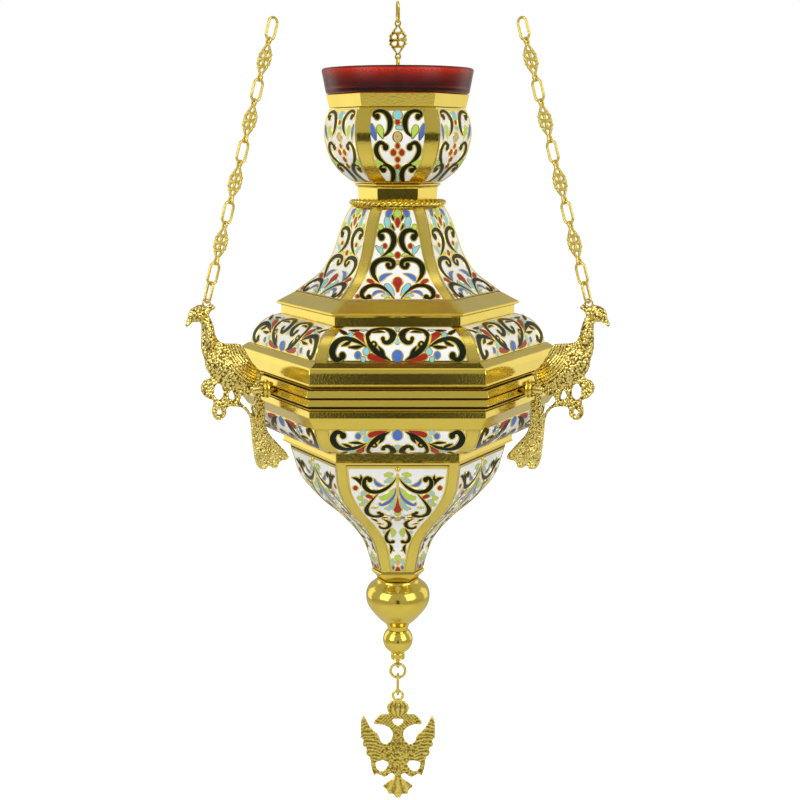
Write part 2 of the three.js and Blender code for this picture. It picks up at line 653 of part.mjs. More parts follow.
function birdBody() {
  const start = socket.length + 2 * seatGap; // where the bird's back stands on its socket
  const outScale = (birdEye.reach - girdleFace - start) / (bird.drawnEye[0] - start);
  const upScale = birdEye.rise / bird.drawnEye[1];
  const place = ([out, up]) => [girdleFace + start + (out - start) * outScale, up * upScale];
  const head = [[34.7, 45.4], [38.2, 44.9], [41.4, 42.8], [42.7, 39], [44, 35.4], [42.6, 34.6], [40.2, 36.6]];
  const breast = [[37.2, 36.8], [35.5, 34.6], [35.9, 26.6], [35.4, 20.6], [31.6, 9.2]];
  const thigh = [[34.6, 7.4], [36.8, 4.4], [36.2, 0.8], [33.6, -2], [30.2, -3.9]];
  const curl = [[31.1, -7.2], [31.2, -10.6], [29, -13.6], [25.8, -13.7], [22.8, -8]];
  const bar = [[18.1, -7.9], [14.4, -9.2], [11.6, -12.4], [10.2, -17]];
  const tail = [
    [9.5, -27], [7.6, -38.4], [5.2, -42], [2.2, -42.3], [0.8, -40.6], [-1.8, -42.4], [-4.6, -42],
    [-5.7, -39.2], [-9, -38.8], [-10.9, -36.2], [-2.6, -26.6], [0.6, -22], [2.1, -16.4], [start - 1.6, -6.4],
  ];
  const rump = [[start, -5], [start, 5.4], [start - 1.6, 8]];
  const back = [[6.2, 11.8], [9.4, 15.8], [12.4, 21.2], [15.2, 24.4], [24.2, 25.6], [28, 29.4], [29.8, 35.6]];
  const crest = [[31.2, 41], [27.6, 43.1], [29.4, 45.4], [31.2, 45.2]];
  const outline = [...head, ...breast, ...thigh, ...curl, ...bar, ...tail, ...rump, ...back, ...crest].map(place);
  const holes = [
    [[27.4, 4.8], [29.4, 3], [29.5, -0.4], [27.8, -2.9], [25.8, -2.6], [24.8, 0], [25.5, 3.2]],
    [[20.2, 0.8], [21.8, -1.6], [20.8, -3.4], [18.8, -3.3]],
    [[8.5, -1.4], [11.8, -3.2], [14.2, -2.2], [15.6, -5], [11.8, -8.9], [9.6, -12], [8.5, -8.6]],
    roundHole(27.1, -9.6, 1.2, 6),
  ].map((hole) => hole.map(place));
  const swell = (out, up, long, short, thick, turn) => {
    const [x, z] = place([out, up]);
    return lump(x, z, long * outScale, short * upScale, thick, turn);
  };
  const eye = drum(birdEye.radius, -birdEye.thickness / 2, birdEye.thickness / 2, 12).rotateX(Math.PI / 2);
  const hole = drum(birdEye.hole, -bird.thickness, bird.thickness, 10).rotateX(Math.PI / 2);
  const pin = drum(birdPin.radius, girdleFace - birdPin.innerReach, girdleFace + birdPin.outerReach, 8)
    .rotateY(Math.PI / 2);
  return casting(outline, holes, bird.thickness)
    .add(swell(20.2, 11.5, 15.5, 9, 4.6, 28))
    .add(swell(31.8, 29.5, 11, 3.7, 3, 84))
    .add(swell(37.2, 40.4, 4.8, 3.9, 3, -20))
    .add(solid(pin))
    .add(solid(eye.translate(birdEye.reach, 0, birdEye.rise)))
    .subtract(solid(hole.translate(birdEye.reach, 0, birdEye.rise)));
}

function socketBody() {
  const inner = girdleFace + seatGap;
  const outer = inner + socket.length;
  const bore = birdPin.radius + seatGap;
  return turned([
    [bore, inner], [socket.radius, inner], [socket.radius, inner + 1.2], [socket.radius - 0.8, inner + 1.7],
    [socket.radius - 0.8, outer], [bore, outer], [bore, inner],
  ], 12).rotateY(Math.PI / 2);
}

// Filigree chain link: a pierced lozenge with a cross in it and an eye at each end

function filigreeLink() {
  const eyeAt = filigree.length / 2 - filigree.eyeRadius;
  const r = filigree.eyeRadius;
  const quarter = [[r * 0.45, eyeAt + r], [r, eyeAt], [1.1, eyeAt - 1.8], [3.7, 3.8], [5.25, 1.2]];
  const right = [...quarter, ...quarter.map(([x, z]) => [x, -z]).reverse()];
  const petal = [[0.7, 0.8], [4, 1], [2.7, 3.1]];
  const holes = [];
  for (const side of [-1, 1]) {
    holes.push(roundHole(0, side * eyeAt, filigree.eyeHole, 6));
    for (const end of [-1, 1]) holes.push(petal.map(([x, z]) => [x * side, z * end]));
  }
  return casting(mirrored(right), holes, filigree.thickness);
}

// Chains: links drawn taut along a leaning line, their touching points welded by a hair's breadth

const quarterTurn = (body, turn) => (turn ? body.rotate([0, 0, 90]) : body);

function chainBody(isBack) {
  const wireStep = chain.wire - chain.weld;
  const parts = [];
  let at = birdEye.hole - chain.wire / 2 - birdEye.slack; // middle of the wire that the next link hangs on
  const addLoop = (size, across) => {
    const body = quarterTurn(solid(wireLoop(size.length, size.width, chain.wire)), across);
    parts.push(body.translate([0, 0, at + (size.length - chain.wire) / 2]));
    at += size.length - chain.wire - wireStep;
  };
  const addFiligree = () => {
    const eyeEnd = filigree.length / 2 - filigree.eyeRadius + filigree.eyeHole;
    const reach = eyeEnd - chain.wire / 2 + chain.weld;
    at += wireStep;
    parts.push(quarterTurn(filigreeLink(), true).translate([0, 0, at + reach]));
    at += 2 * reach;
  };
  if (isBack) {
    addLoop(jumpRing, true);
    addLoop(jumpRing, false);
  } else {
    addLoop(smallOval, true);
    addLoop(oval, false);
  }
  const units = isBack ? chain.backUnits : chain.frontUnits;
  for (let i = 0; i < units; i += 1) {
    addFiligree();
    addLoop(oval, false);
  }
  const body = parts.reduce((whole, part) => whole.add(part));
  return { body, top: at + wireStep };
}

const eyeOf = (angle) => [
  birdEye.reach * Math.cos(radians(angle)), birdEye.reach * Math.sin(radians(angle)), birdEye.rise,
];

let hangHeight = 0;
bird.faceAngles.forEach((angle, i) => {
  const name = bird.names[i];
  const { body, top } = chainBody(name === 'back');
  const twisted = body.rotate([0, 0, chain.twist[name]]);
  const placed = twisted.rotate([0, -chain.lean, 0]).rotate([0, 0, angle]).translate(eyeOf(angle));
  add(`chain_${name}`, placed, gilt);
  if (name !== 'back') hangHeight = birdEye.rise + top * Math.cos(radians(chain.lean));
  add(`bird_${name}`, geometryOf(birdBody().rotate([0, 0, angle])), castGilt);
  add(`bird_socket_${name}`, socketBody().rotateZ(radians(angle)), gilt);
});

lamp.position.z = -hangHeight;

const part = new THREE.Group();
part.add(lamp);

export default part;
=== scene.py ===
import bisect
import math

import bmesh
import bpy
from mathutils import Matrix, Vector, noise


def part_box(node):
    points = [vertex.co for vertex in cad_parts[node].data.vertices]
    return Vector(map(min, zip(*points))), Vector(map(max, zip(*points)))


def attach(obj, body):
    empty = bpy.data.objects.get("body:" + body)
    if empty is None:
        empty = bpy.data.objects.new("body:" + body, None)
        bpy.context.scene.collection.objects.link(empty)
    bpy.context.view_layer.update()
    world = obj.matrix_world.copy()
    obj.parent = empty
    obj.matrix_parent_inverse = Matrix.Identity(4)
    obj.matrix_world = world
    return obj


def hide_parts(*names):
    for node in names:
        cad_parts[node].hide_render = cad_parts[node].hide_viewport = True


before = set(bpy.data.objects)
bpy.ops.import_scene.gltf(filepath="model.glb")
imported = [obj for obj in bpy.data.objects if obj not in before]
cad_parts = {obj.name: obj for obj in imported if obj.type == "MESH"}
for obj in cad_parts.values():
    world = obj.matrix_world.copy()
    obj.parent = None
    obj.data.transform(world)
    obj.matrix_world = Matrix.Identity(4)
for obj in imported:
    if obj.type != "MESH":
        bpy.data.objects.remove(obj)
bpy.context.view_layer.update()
scene = bpy.context.scene
print("frame loaded:", len(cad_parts), "nodes")

mm = 0.001  # pieces are modelled in millimetres and scaled when they are finished
flat = math.cos(math.radians(30))  # apothem of a regular hexagon over its corner radius
faceAngles = {
    "front": 270, "front_right": 330, "back_right": 30,
    "back": 90, "back_left": 150, "front_left": 210,
}
wideFaces = ("front", "back_right", "back_left")
birdNames = {"back": 90, "front_left": 210, "front_right": 330}


def heightOf(node):
    low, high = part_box(node)
    return low.z / mm, high.z / mm


girdleRise = 18.4  # from the birds' pins up to the girdle's top edge
bracketLine = heightOf("girdle")[1] - girdleRise


# camera, matched to the photograph; its height is taken from the bracket line

cameraSettings = {"place": (0.0012, -0.7237), "height": 0.12407, "pitch": 10.75, "lens": 61.07}


def makeCamera():
    data = bpy.data.cameras.new("camera")
    data.lens = cameraSettings["lens"]
    data.sensor_width = 36
    data.clip_start = 0.01
    camera = bpy.data.objects.new("camera", data)
    camera.location = (*cameraSettings["place"], cameraSettings["height"] + bracketLine * mm)
    camera.rotation_euler = (math.radians(90 - cameraSettings["pitch"]), 0, 0)
    scene.collection.objects.link(camera)
    scene.camera = camera


makeCamera()
scene.view_settings.view_transform = "Standard"


# shader maths written as expressions on sockets

class Socket:
    def __init__(self, graph, source):
        self.graph = graph
        self.source = source

    def join(self, operation, other, swap=False):
        first, second = (other, self) if swap else (self, other)
        return self.graph.add("ShaderNodeMath", {"operation": operation}, {0: first, 1: second})

    def __add__(self, other):
        return self.join("ADD", other)

    def __radd__(self, other):
        return self.join("ADD", other, True)

    def __sub__(self, other):
        return self.join("SUBTRACT", other)

    def __rsub__(self, other):
        return self.join("SUBTRACT", other, True)

    def __mul__(self, other):
        return self.join("MULTIPLY", other)

    def __rmul__(self, other):
        return self.join("MULTIPLY", other, True)


class Graph:
    def __init__(self, name):
        self.material = bpy.data.materials.new(name)
        self.material.use_nodes = True
        self.nodes = self.material.node_tree.nodes
        self.links = self.material.node_tree.links
        self.shader = self.nodes["Principled BSDF"]

    def add(self, kind, settings=None, inputs=None, output=0):
        node = self.nodes.new(kind)
        for key, value in (settings or {}).items():
            setattr(node, key, value)
        for key, value in (inputs or {}).items():
            self.feed(node.inputs[key], value)
        return Socket(self, node.outputs[output])

    def feed(self, socket, value):
        if isinstance(value, Socket):
            self.links.new(value.source, socket)
        else:
            socket.default_value = value

    def surface(self, **values):
        for key, value in values.items():
            self.feed(self.shader.inputs[key.replace("_", " ")], value)
        return self.material

    def objectPoint(self):
        return self.add("ShaderNodeTexCoord", output="Object")

    def noise(self, scale, detail=3, roughness=0.5):
        values = {"Vector": self.objectPoint(), "Scale": scale, "Detail": detail, "Roughness": roughness}
        return self.add("ShaderNodeTexNoise", {}, values, "Fac")

    def mix(self, factor, first, second):
        values = {"Factor": factor, 6: first, 7: second}
        return self.add("ShaderNodeMix", {"data_type": "RGBA"}, values, 2)

    def bump(self, height, strength, distance):
        values = {"Height": height, "Strength": strength, "Distance": distance}
        return self.add("ShaderNodeBump", {}, values, "Normal")


def linear(red, green, blue):
    channels = [value / 255 for value in (red, green, blue)]
    return tuple((c / 12.92 if c <= 0.04045 else ((c + 0.055) / 1.055) ** 2.4) for c in channels) + (1,)


# finishes: colours as written for a screen, each as a pair that clouds into one another

giltSettings = {
    "gilt": {
        "colours": ((238, 214, 98), (226, 198, 80)),
        "rough": 0.09, "grain": 700, "pits": 900, "depth": 0.1,
    },
    "satinGilt": {
        "colours": ((236, 214, 104), (222, 196, 84)),
        "rough": 0.16, "grain": 900, "pits": 1300, "depth": 0.3,
    },
    "castGilt": {
        "colours": ((242, 220, 122), (222, 194, 90)),
        "rough": 0.22, "grain": 900, "pits": 1100, "depth": 0.8,
    },
}
# The pit colours are painted shade in the carved hollows. The birds' ridge colours, paler than the cast
# gilt, carry a painted highlight.
reliefSettings = {  # the span is the part of the carved relief over which pits turn into ridges
    "reliefGilt": {"ridges": ((252, 235, 148), (238, 211, 104)), "pitShade": (112, 84, 26), "span": (0.1, 0.55)},
    "eagleGilt": {"ridges": ((250, 230, 124), (230, 202, 84)), "pitShade": (142, 112, 34), "span": (0.2, 0.75)},
}
enamelColours = {
    "white": ((250, 250, 246), (232, 233, 230)),
    "ink": ((14, 20, 8), (30, 38, 18)),
    "blue": ((52, 92, 176), (86, 128, 200)),
    "turquoise": ((112, 192, 206), (156, 216, 224)),
    "red": ((142, 20, 10), (176, 44, 22)),
    "lime": ((160, 206, 56), (190, 220, 110)),
    "pearl": ((216, 196, 130), (176, 146, 76)),
}
enamelShine = {"ink": 0.12, "others": 0.3, "rough": 0.12}
glassSettings = {  # it turns paler over a stretch below the rim
    "colours": ((104, 12, 4), (244, 92, 16)), "rough": 0.24, "ior": 1.33, "shine": 0.02,
    "paleFrom": 8, "paleTo": 1,
}


def makeGilt(name):
    settings = giltSettings[name]
    graph = Graph(name)
    bright, deep = [linear(*colour) for colour in settings["colours"]]
    cloud = graph.noise(90, 4, 0.6)
    fine = graph.noise(settings["grain"], 3, 0.6)
    pits = graph.noise(settings["pits"], 3, 0.6)
    return graph.surface(
        Base_Color=graph.mix(cloud, bright, deep), Metallic=1.0,
        Roughness=settings["rough"] + fine * settings["rough"] * 0.8,
        Normal=graph.bump(pits, settings["depth"], 0.0004),
    )


def makeReliefGilt(name):
    settings = reliefSettings[name]
    graph = Graph(name)
    relief = graph.add("ShaderNodeAttribute", {"attribute_name": "relief"}, output="Fac")
    lowest, highest = settings["span"]
    ridge = graph.add("ShaderNodeMapRange", {}, {"Value": relief, "From Min": lowest, "From Max": highest})
    cloud = graph.noise(120, 4, 0.6)
    metal = graph.mix(cloud, *[linear(*colour) for colour in settings["ridges"]])
    pits = graph.noise(2600, 3, 0.6)
    # painted shade darkens the hollows towards the pit colour; the ridges take the metal's colours
    return graph.surface(
        Base_Color=graph.mix(ridge, linear(*settings["pitShade"]), metal), Metallic=1.0,
        Roughness=0.28 - ridge * 0.12, Normal=graph.bump(pits, 0.4, 0.0001),
    )


def makeEnamel(name):
    graph = Graph("enamel" + name.capitalize())
    base, light = [linear(*colour) for colour in enamelColours[name]]
    graph.shader.inputs["Specular IOR Level"].default_value = enamelShine.get(name, enamelShine["others"])
    cloud = graph.noise(420, 4, 0.6)
    speck = graph.noise(1500, 2, 0.6)
    pits = graph.noise(260, 3, 0.5)
    return graph.surface(
        Base_Color=graph.mix(cloud * 0.6 + speck * 0.4, base, light),
        Roughness=enamelShine["rough"] + speck * 0.15,
        Normal=graph.bump(pits, 0.35, 0.0003),
    )


# painted shade: a mottled dark brown laid in the grooves, pockets and lines where shade falls between parts
def makePaintedShade():
    graph = Graph("paintedShade")
    shadeMottle = graph.noise(300, 3)
    return graph.surface(
        Base_Color=graph.mix(shadeMottle, linear(30, 22, 6), linear(70, 52, 16)),
        Roughness=0.5 + shadeMottle * 0.3, Metallic=0.6,
    )


def makeGlass():
    settings = glassSettings
    graph = Graph("redGlass")
    top = heightOf("glass_cup")[1]
    height = graph.add("ShaderNodeSeparateXYZ", {}, {"Vector": graph.objectPoint()}, "Z")
    span = {"From Min": (top - settings["paleFrom"]) * mm, "From Max": (top - settings["paleTo"]) * mm}
    rise = graph.add("ShaderNodeMapRange", {}, {"Value": height, **span})
    body = graph.noise(900, 3) * 0.5 + rise * 0.7
    graph.shader.inputs["Transmission Weight"].default_value = 1
    graph.shader.inputs["IOR"].default_value = settings["ior"]
    graph.shader.inputs["Specular IOR Level"].default_value = settings["shine"]
    return graph.surface(
        Base_Color=graph.mix(body, *[linear(*colour) for colour in settings["colours"]]),
        Roughness=settings["rough"] + body * 0.04,
    )


gilt, satinGilt, castGilt = [makeGilt(name) for name in giltSettings]
reliefGilt, eagleGilt = [makeReliefGilt(name) for name in reliefSettings]
paintedShade = makePaintedShade()
redGlass = makeGlass()
enamels = {name: makeEnamel(name) for name in enamelColours}
print("finishes made")


# world, lamps, floor and cards

studio = {
    "worldLevel": 0.5, "floorGlow": 0.85,
    "lamps": [
        {"name": "leftBox", "place": (-1.3, -1.1, 0.5), "size": (1.1, 1.5), "power": 12},
        {"name": "rightBox", "place": (1.3, -1.1, 0.5), "size": (1.1, 1.5), "power": 12},
        {"name": "leftRearBox", "place": (-1.5, 0.9, 0), "size": (0.9, 1.6), "power": 3.5},
        {"name": "rightRearBox", "place": (1.5, 0.9, 0), "size": (0.9, 1.6), "power": 2.6},
        {"name": "topBox", "place": (0, -0.5, 1.6), "size": (1.4, 1), "power": 3},
        {"name": "frontFill", "place": (0, -2.6, -0.5), "size": (2, 2), "power": 9, "mirrored": False},
    ],
    "target": (0, 0, -0.2),
    "floorHeight": -1, "floorSize": 6,
}


def makeWorld():
    world = bpy.data.worlds.new("studio")
    scene.world = world
    world.use_nodes = True
    nodes, links = world.node_tree.nodes, world.node_tree.links
    path = nodes.new("ShaderNodeLightPath")
    seen = nodes.new("ShaderNodeMath")
    seen.operation = "MAXIMUM"
    links.new(path.outputs["Is Camera Ray"], seen.inputs[0])
    links.new(path.outputs["Is Transmission Ray"], seen.inputs[1])
    level = nodes.new("ShaderNodeMapRange")
    level.inputs["To Min"].default_value = studio["worldLevel"]
    level.inputs["To Max"].default_value = 1
    links.new(seen.outputs[0], level.inputs["Value"])
    back = nodes["Background"]
    back.inputs["Color"].default_value = (1, 1, 1, 1)
    links.new(level.outputs[0], back.inputs["Strength"])


def makeLamps():
    for settings in studio["lamps"]:
        data = bpy.data.lights.new(settings["name"], "AREA")
        data.shape = "RECTANGLE"
        data.size, data.size_y = settings["size"]
        data.energy = settings["power"]
        lamp = bpy.data.objects.new(settings["name"], data)
        place = Vector(settings["place"])
        lamp.location = place
        lamp.rotation_euler = (Vector(studio["target"]) - place).to_track_quat("-Z", "Y").to_euler()
        lamp.visible_glossy = settings.get("mirrored", True)
        scene.collection.objects.link(lamp)


def makeFloor():
    graph = Graph("floor")
    path = graph.add("ShaderNodeLightPath", output="Is Camera Ray")
    glow = graph.mix(path, (0, 0, 0, 1), (*[studio["floorGlow"]] * 3, 1))
    graph.surface(Base_Color=(0.8, 0.8, 0.8, 1), Roughness=0.9, Emission_Strength=1.0, Emission_Color=glow)
    bm = bmesh.new()
    bmesh.ops.create_grid(bm, x_segments=1, y_segments=1, size=studio["floorSize"])
    bmesh.ops.translate(bm, verts=bm.verts, vec=(0, 0, studio["floorHeight"]))
    stagePiece(bm, "floor", graph.material)


def meshFrom(bm, name):
    mesh = bpy.data.meshes.new(name)
    bm.to_mesh(mesh)
    bm.free()
    return mesh


def stagePiece(bm, name, material):
    mesh = meshFrom(bm, name)
    piece = bpy.data.objects.new(name, mesh)
    mesh.materials.append(material)
    scene.collection.objects.link(piece)
    return piece


cards = {
    "overheadCard": {"place": (0, 0.19, 1.2), "size": (0.6, 0.22), "colour": (70, 64, 44)},
    "cameraCard": {"place": (0, -2.2, -0.42), "size": (0.46, 0.84), "colour": (66, 64, 54)},
}


def makeCards():
    for name, settings in cards.items():
        graph = Graph(name)
        graph.surface(Base_Color=linear(*settings["colour"]), Roughness=0.9)
        bm = bmesh.new()
        bmesh.ops.create_grid(bm, x_segments=1, y_segments=1, size=0.5)
        width, height = settings["size"]
        place = Vector(settings["place"])
        turn = (Vector(studio["target"]) - place).to_track_quat("Z", "Y").to_matrix().to_4x4()
        shape = Matrix.Translation(place) @ turn @ Matrix.Diagonal((width, height, 1, 1))
        bmesh.ops.transform(bm, matrix=shape, verts=bm.verts)
        card = stagePiece(bm, name, graph.material)
        card.visible_camera = False
        card.visible_shadow = False
        card.visible_diffuse = False


makeWorld()
makeLamps()
makeFloor()
makeCards()
print("studio made")


# shared modelling steps

def finish(bm, name, materials, replaces=(), body="lamp_body", smooth=32):
    bmesh.ops.scale(bm, vec=(mm, mm, mm), verts=bm.verts)
    mesh = meshFrom(bm, name)
    for material in materials:
        mesh.materials.append(material)
    mesh.polygons.foreach_set("use_smooth", [True] * len(mesh.polygons))
    mesh.set_sharp_from_angle(angle=math.radians(smooth))
    piece = bpy.data.objects.new(name, mesh)
    scene.collection.objects.link(piece)
    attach(piece, body)
    if replaces:
        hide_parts(*replaces)
    return piece


def spun(points, steps, closed=True):
    bm = bmesh.new()
    corners = [bm.verts.new((radius, 0, z)) for radius, z in points]
    edges = [bm.edges.new(pair) for pair in zip(corners, corners[1:])]
    if closed:
        edges.append(bm.edges.new((corners[-1], corners[0])))
    bmesh.ops.spin(
        bm, geom=corners + edges, cent=(0, 0, 0), axis=(0, 0, 1), angle=2 * math.pi, steps=steps,
        use_merge=True,
    )
    bmesh.ops.remove_doubles(bm, verts=bm.verts, dist=0.001)
    bmesh.ops.recalc_face_normals(bm, faces=bm.faces)
    return bm


def bevelSharp(bm, width, angle=20, segments=2):
    least = math.radians(angle)
    sharp = [edge for edge in bm.edges if edge.is_manifold and edge.calc_face_angle() > least]
    bmesh.ops.bevel(
        bm, geom=sharp, offset=width, affect="EDGES", segments=segments, profile=0.5, material=-1,
        offset_type="OFFSET", clamp_overlap=True,
    )


def turnBy(bm, degrees, axis):
    turn = Matrix.Rotation(math.radians(degrees), 3, axis)
    bmesh.ops.rotate(bm, cent=(0, 0, 0), matrix=turn, verts=bm.verts)


def moveBy(bm, x, y, z):
    bmesh.ops.translate(bm, vec=(x, y, z), verts=bm.verts)


def addTo(bm, other):
    mesh = meshFrom(other, "part")
    bm.from_mesh(mesh)
    bpy.data.meshes.remove(mesh)


def curvePoint(points, share):
    last = len(points) - 1
    place = share * last
    i = min(int(place), last - 1)
    t = place - i
    before, start, end, after = [points[max(0, min(last, k))] for k in (i - 1, i, i + 1, i + 2)]
    out = []
    for a, b, c, d in zip(before, start, end, after):
        out.append(
            b + 0.5 * (c - a) * t
            + (3 * (c - b) - (c - a) - 0.5 * (d - b)) * t * t
            + (2 * (b - c) + 0.5 * (c - a) + 0.5 * (d - b)) * t ** 3
        )
    return out


# tiers: smooth outlines, from the upper edge down

tiers = {
    "bell": {
        "height": 50.4, "topRadius": 24.4, "bottomRadius": 64.3, "spread": (31.3, 31),
        "margins": (4.6, 4.1),
        "ends": (1, 9.9), "ink": 1.1, "lines": [(1.3, 1.7), (3.7, 4)],
        "cap": {"bore": 16, "inset": 0.5, "thickness": 1.6, "sunk": 0.15},
        "curve": [
            (0, 0), (0.095, 0.13), (0.183, 0.32), (0.27, 0.507),
            (0.43, 0.7), (0.63, 0.824), (0.86, 0.953), (1, 1),
        ],
    },
    "bowl": {
        "height": 38, "topRadius": 35.4, "bottomRadius": 22.4, "spread": (32.5, 31.5),
        "margins": (6.1, 6.5),
        "ends": (1.2, 2), "ink": 1.06,
        "curve": [
            (0, 0), (-0.19, 0.16), (-0.255, 0.34), (-0.176, 0.5),
            (-0.02, 0.655), (0.3, 0.815), (0.65, 0.92), (1, 1),
        ],
    },
    "taper": {
        "height": 71, "topRadius": 59, "bottomRadius": 14.2, "spread": (32, 38),
        "margins": (4.9, 5.3),
        "ends": (1.8, 1.2), "ink": 1.06, "topRim": 1.5, "bead": 1.5, "lines": [(-1.7, -1.3), (-0.35, 0)],
        "curve": [
            (0, 0), (0.055, 0.12), (0.1, 0.21), (0.2, 0.31), (0.4, 0.445),
            (0.6, 0.553), (0.75, 0.65), (0.865, 0.747), (0.93, 0.845), (1, 1),
        ],
    },
    "upper_band": {
        "height": 16.6, "wide": 79.2, "narrow": 61.2, "margins": (5, 5), "ends": (1.3, 1.3), "ink": 1.24,
    },
    "lower_band": {
        "height": 16.6, "wide": 80.4, "narrow": 62.4, "margins": (6, 6), "ends": (1.3, 1.3), "ink": 1.24,
    },
}
narrowMargin = 0.9  # gilt beside the plates of the narrow faces
narrowestPlate = 0.8
plate = {"thickness": 1.2, "proud": 0.25, "gap": 0.3, "rows": 40, "columns": 10}
shell = {"thickness": 1, "rows": 34}
tierStations = 60
normalReach = 0.6  # along the curve, either way


class Tier:
    def __init__(self, name):
        self.name = name
        self.settings = tiers[name]
        self.bottom = heightOf(name + "_frame")[0]
        self.rows = [self.station(i / tierStations) for i in range(tierStations + 1)]
        self.lengths = [0]
        for (r0, z0, _), (r1, z1, _) in zip(self.rows, self.rows[1:]):
            self.lengths.append(self.lengths[-1] + math.hypot((r1 - r0) * flat, z1 - z0))
        self.total = self.lengths[-1]

    def station(self, share):
        size = self.settings
        if "curve" in size:
            out, drop = curvePoint(size["curve"], share)
            radius = size["topRadius"] + out * (size["bottomRadius"] - size["topRadius"])
            spread = size["spread"][0] + drop * (size["spread"][1] - size["spread"][0])
            return radius, self.bottom + size["height"] * (1 - drop), spread
        span = size["wide"] - size["narrow"]
        if self.name == "upper_band":
            angle = math.pi / 2 * (1 - share)
            rise = math.sin(angle)
        else:
            angle = math.pi / 2 * share
            rise = 1 - math.sin(angle)
        return size["narrow"] + span * math.cos(angle), self.bottom + size["height"] * rise, 30

    def at(self, along):
        i = max(1, min(tierStations, bisect.bisect_left(self.lengths, along)))
        t = (along - self.lengths[i - 1]) / (self.lengths[i] - self.lengths[i - 1])
        return [a + (b - a) * t for a, b in zip(self.rows[i - 1], self.rows[i])]

    def normal(self, along):
        r0, z0, _ = self.at(max(along - normalReach, 0))
        r1, z1, _ = self.at(min(along + normalReach, self.total))
        run, fall = (r1 - r0) * flat, z0 - z1
        length = math.hypot(run, fall)
        return fall / length, run / length

    def halfAngle(self, face, spread):
        return math.radians(spread if face in wideFaces else 60 - spread)

    def fullWidth(self, face, along):
        radius, _, spread = self.at(along)
        return radius * math.sin(self.halfAngle(face, spread))

    def plateWidth(self, face, along):
        top, bottom = self.settings["margins"]
        low, high = self.rows[-1][1], self.rows[0][1]
        share = (high - self.at(along)[1]) / (high - low)
        margin = top + (bottom - top) * share if face in wideFaces else narrowMargin
        return max(self.fullWidth(face, along) - margin, narrowestPlate)

    def point(self, face, across, along, lift):
        radius, z, spread = self.at(along)
        out, up = self.normal(along)
        apothem = radius * math.cos(self.halfAngle(face, spread)) + out * lift
        turn = math.radians(faceAngles[face])
        return Vector((
            apothem * math.cos(turn) - across * math.sin(turn),
            apothem * math.sin(turn) + across * math.cos(turn),
            z + up * lift,
        ))


def faceSheet(bm, columns, stops, place, pocketShade=0, shade=0):
    across, down = len(columns) - 1, len(stops) - 1
    made = bmesh.ops.create_grid(bm, x_segments=across, y_segments=down, size=0.5)["verts"]
    for panel in {panel for corner in made for panel in corner.link_faces}:
        middle = panel.calc_center_median()
        inside = 1 < (middle.x + 0.5) * across < across - 1 and 1 < (0.5 - middle.y) * down < down - 1
        panel.material_index = pocketShade if inside and pocketShade else shade
    for corner in made:
        i = round((corner.co.x + 0.5) * across)
        j = round((0.5 - corner.co.y) * down)
        corner.co = place(i, j)
    return made


def steps(start, end, count):
    return [start + (end - start) * i / count for i in range(count + 1)]


def capPlate(tier, bore, inset, thickness, sunk):  # closes the bell around the neck's foot
    radius, top = tier.rows[0][0] - inset, tier.rows[0][1] - sunk
    return spun([(bore, top), (radius, top), (radius, top - thickness), (bore, top - thickness)], 6)


def makeFrame(tier):
    bm = bmesh.new()
    gap, depth = plate["gap"], plate["thickness"] - plate["proud"] + plate["gap"]
    top, bottom = tier.settings["ends"]
    first, last = top - gap, tier.total - bottom + gap
    stops = [0, first, first] + steps(first, last, shell["rows"])[1:-1] + [last, last, tier.total]
    for face in faceAngles:
        def place(i, j):
            along = stops[j]
            edge = tier.plateWidth(face, along) + gap
            full = tier.fullWidth(face, along)
            width = (-full, -edge, -edge, 0, edge, edge, full)[i]
            sunk = 2 <= i <= 4 and 2 <= j <= len(stops) - 3
            return tier.point(face, width, along, -depth if sunk else 0)
        # the pockets round the narrow faces' plates take the painted shade (finish 1); the wide faces'
        # pockets stay gilt
        faceSheet(bm, range(7), stops, place, 0 if face in wideFaces else 1)
    bmesh.ops.remove_doubles(bm, verts=bm.verts, dist=0.01)
    bmesh.ops.dissolve_degenerate(bm, edges=bm.edges, dist=0.01)
    bm.normal_update()
    bmesh.ops.solidify(bm, geom=bm.faces, thickness=shell["thickness"])
    if "cap" in tier.settings:
        addTo(bm, capPlate(tier, **tier.settings["cap"]))
    metal = gilt if tier.name == "bowl" else satinGilt
    return finish(bm, tier.name + "_shell", [metal, paintedShade], [tier.name + "_frame"])


def makePlates(tier):
    top, bottom = tier.settings["ends"]
    stops = steps(top, tier.total - bottom, plate["rows"])
    shares = steps(-1, 1, plate["columns"])
    for face in faceAngles:
        bm = bmesh.new()

        def place(i, j):
            width = tier.plateWidth(face, stops[j])
            return tier.point(face, shares[i] * width, stops[j], plate["proud"])
        faceSheet(bm, shares, stops, place)
        bm.normal_update()
        bmesh.ops.solidify(bm, geom=bm.faces, thickness=plate["thickness"])
        name, node = f"{tier.name}_plate_{face}", f"{tier.name}_enamel_{face}"
        finish(bm, name, [enamels["white"]], [node])


# ornament: strokes of enamel between gold wires, drawn flat as (across, along the plate, half width)
# and then laid over the plates. Each drawing is the right half; it is mirrored about the middle.

wire = {"width": 0.52, "height": 0.16, "rim": 0.8}
# thin raised strips that carry painted shade along the plates' edges
shadeLine = {"sunk": -0.2, "raised": 0.06}
enamelHeight = 0.2
stroke = {"step": 0.8, "sunk": -0.15, "crown": 1.15, "shoulder": 0.86, "thinnest": 0.03}
scroll = {"head": 1.45, "from": 0.8}  # radius of a head over its stroke's half width, for ends this wide
roundings = (0.4, 0.72, 0.93, 1)  # steps of a rounded end
shades = ["gold", "ink", "blue", "turquoise", "red", "lime", "pearl"]

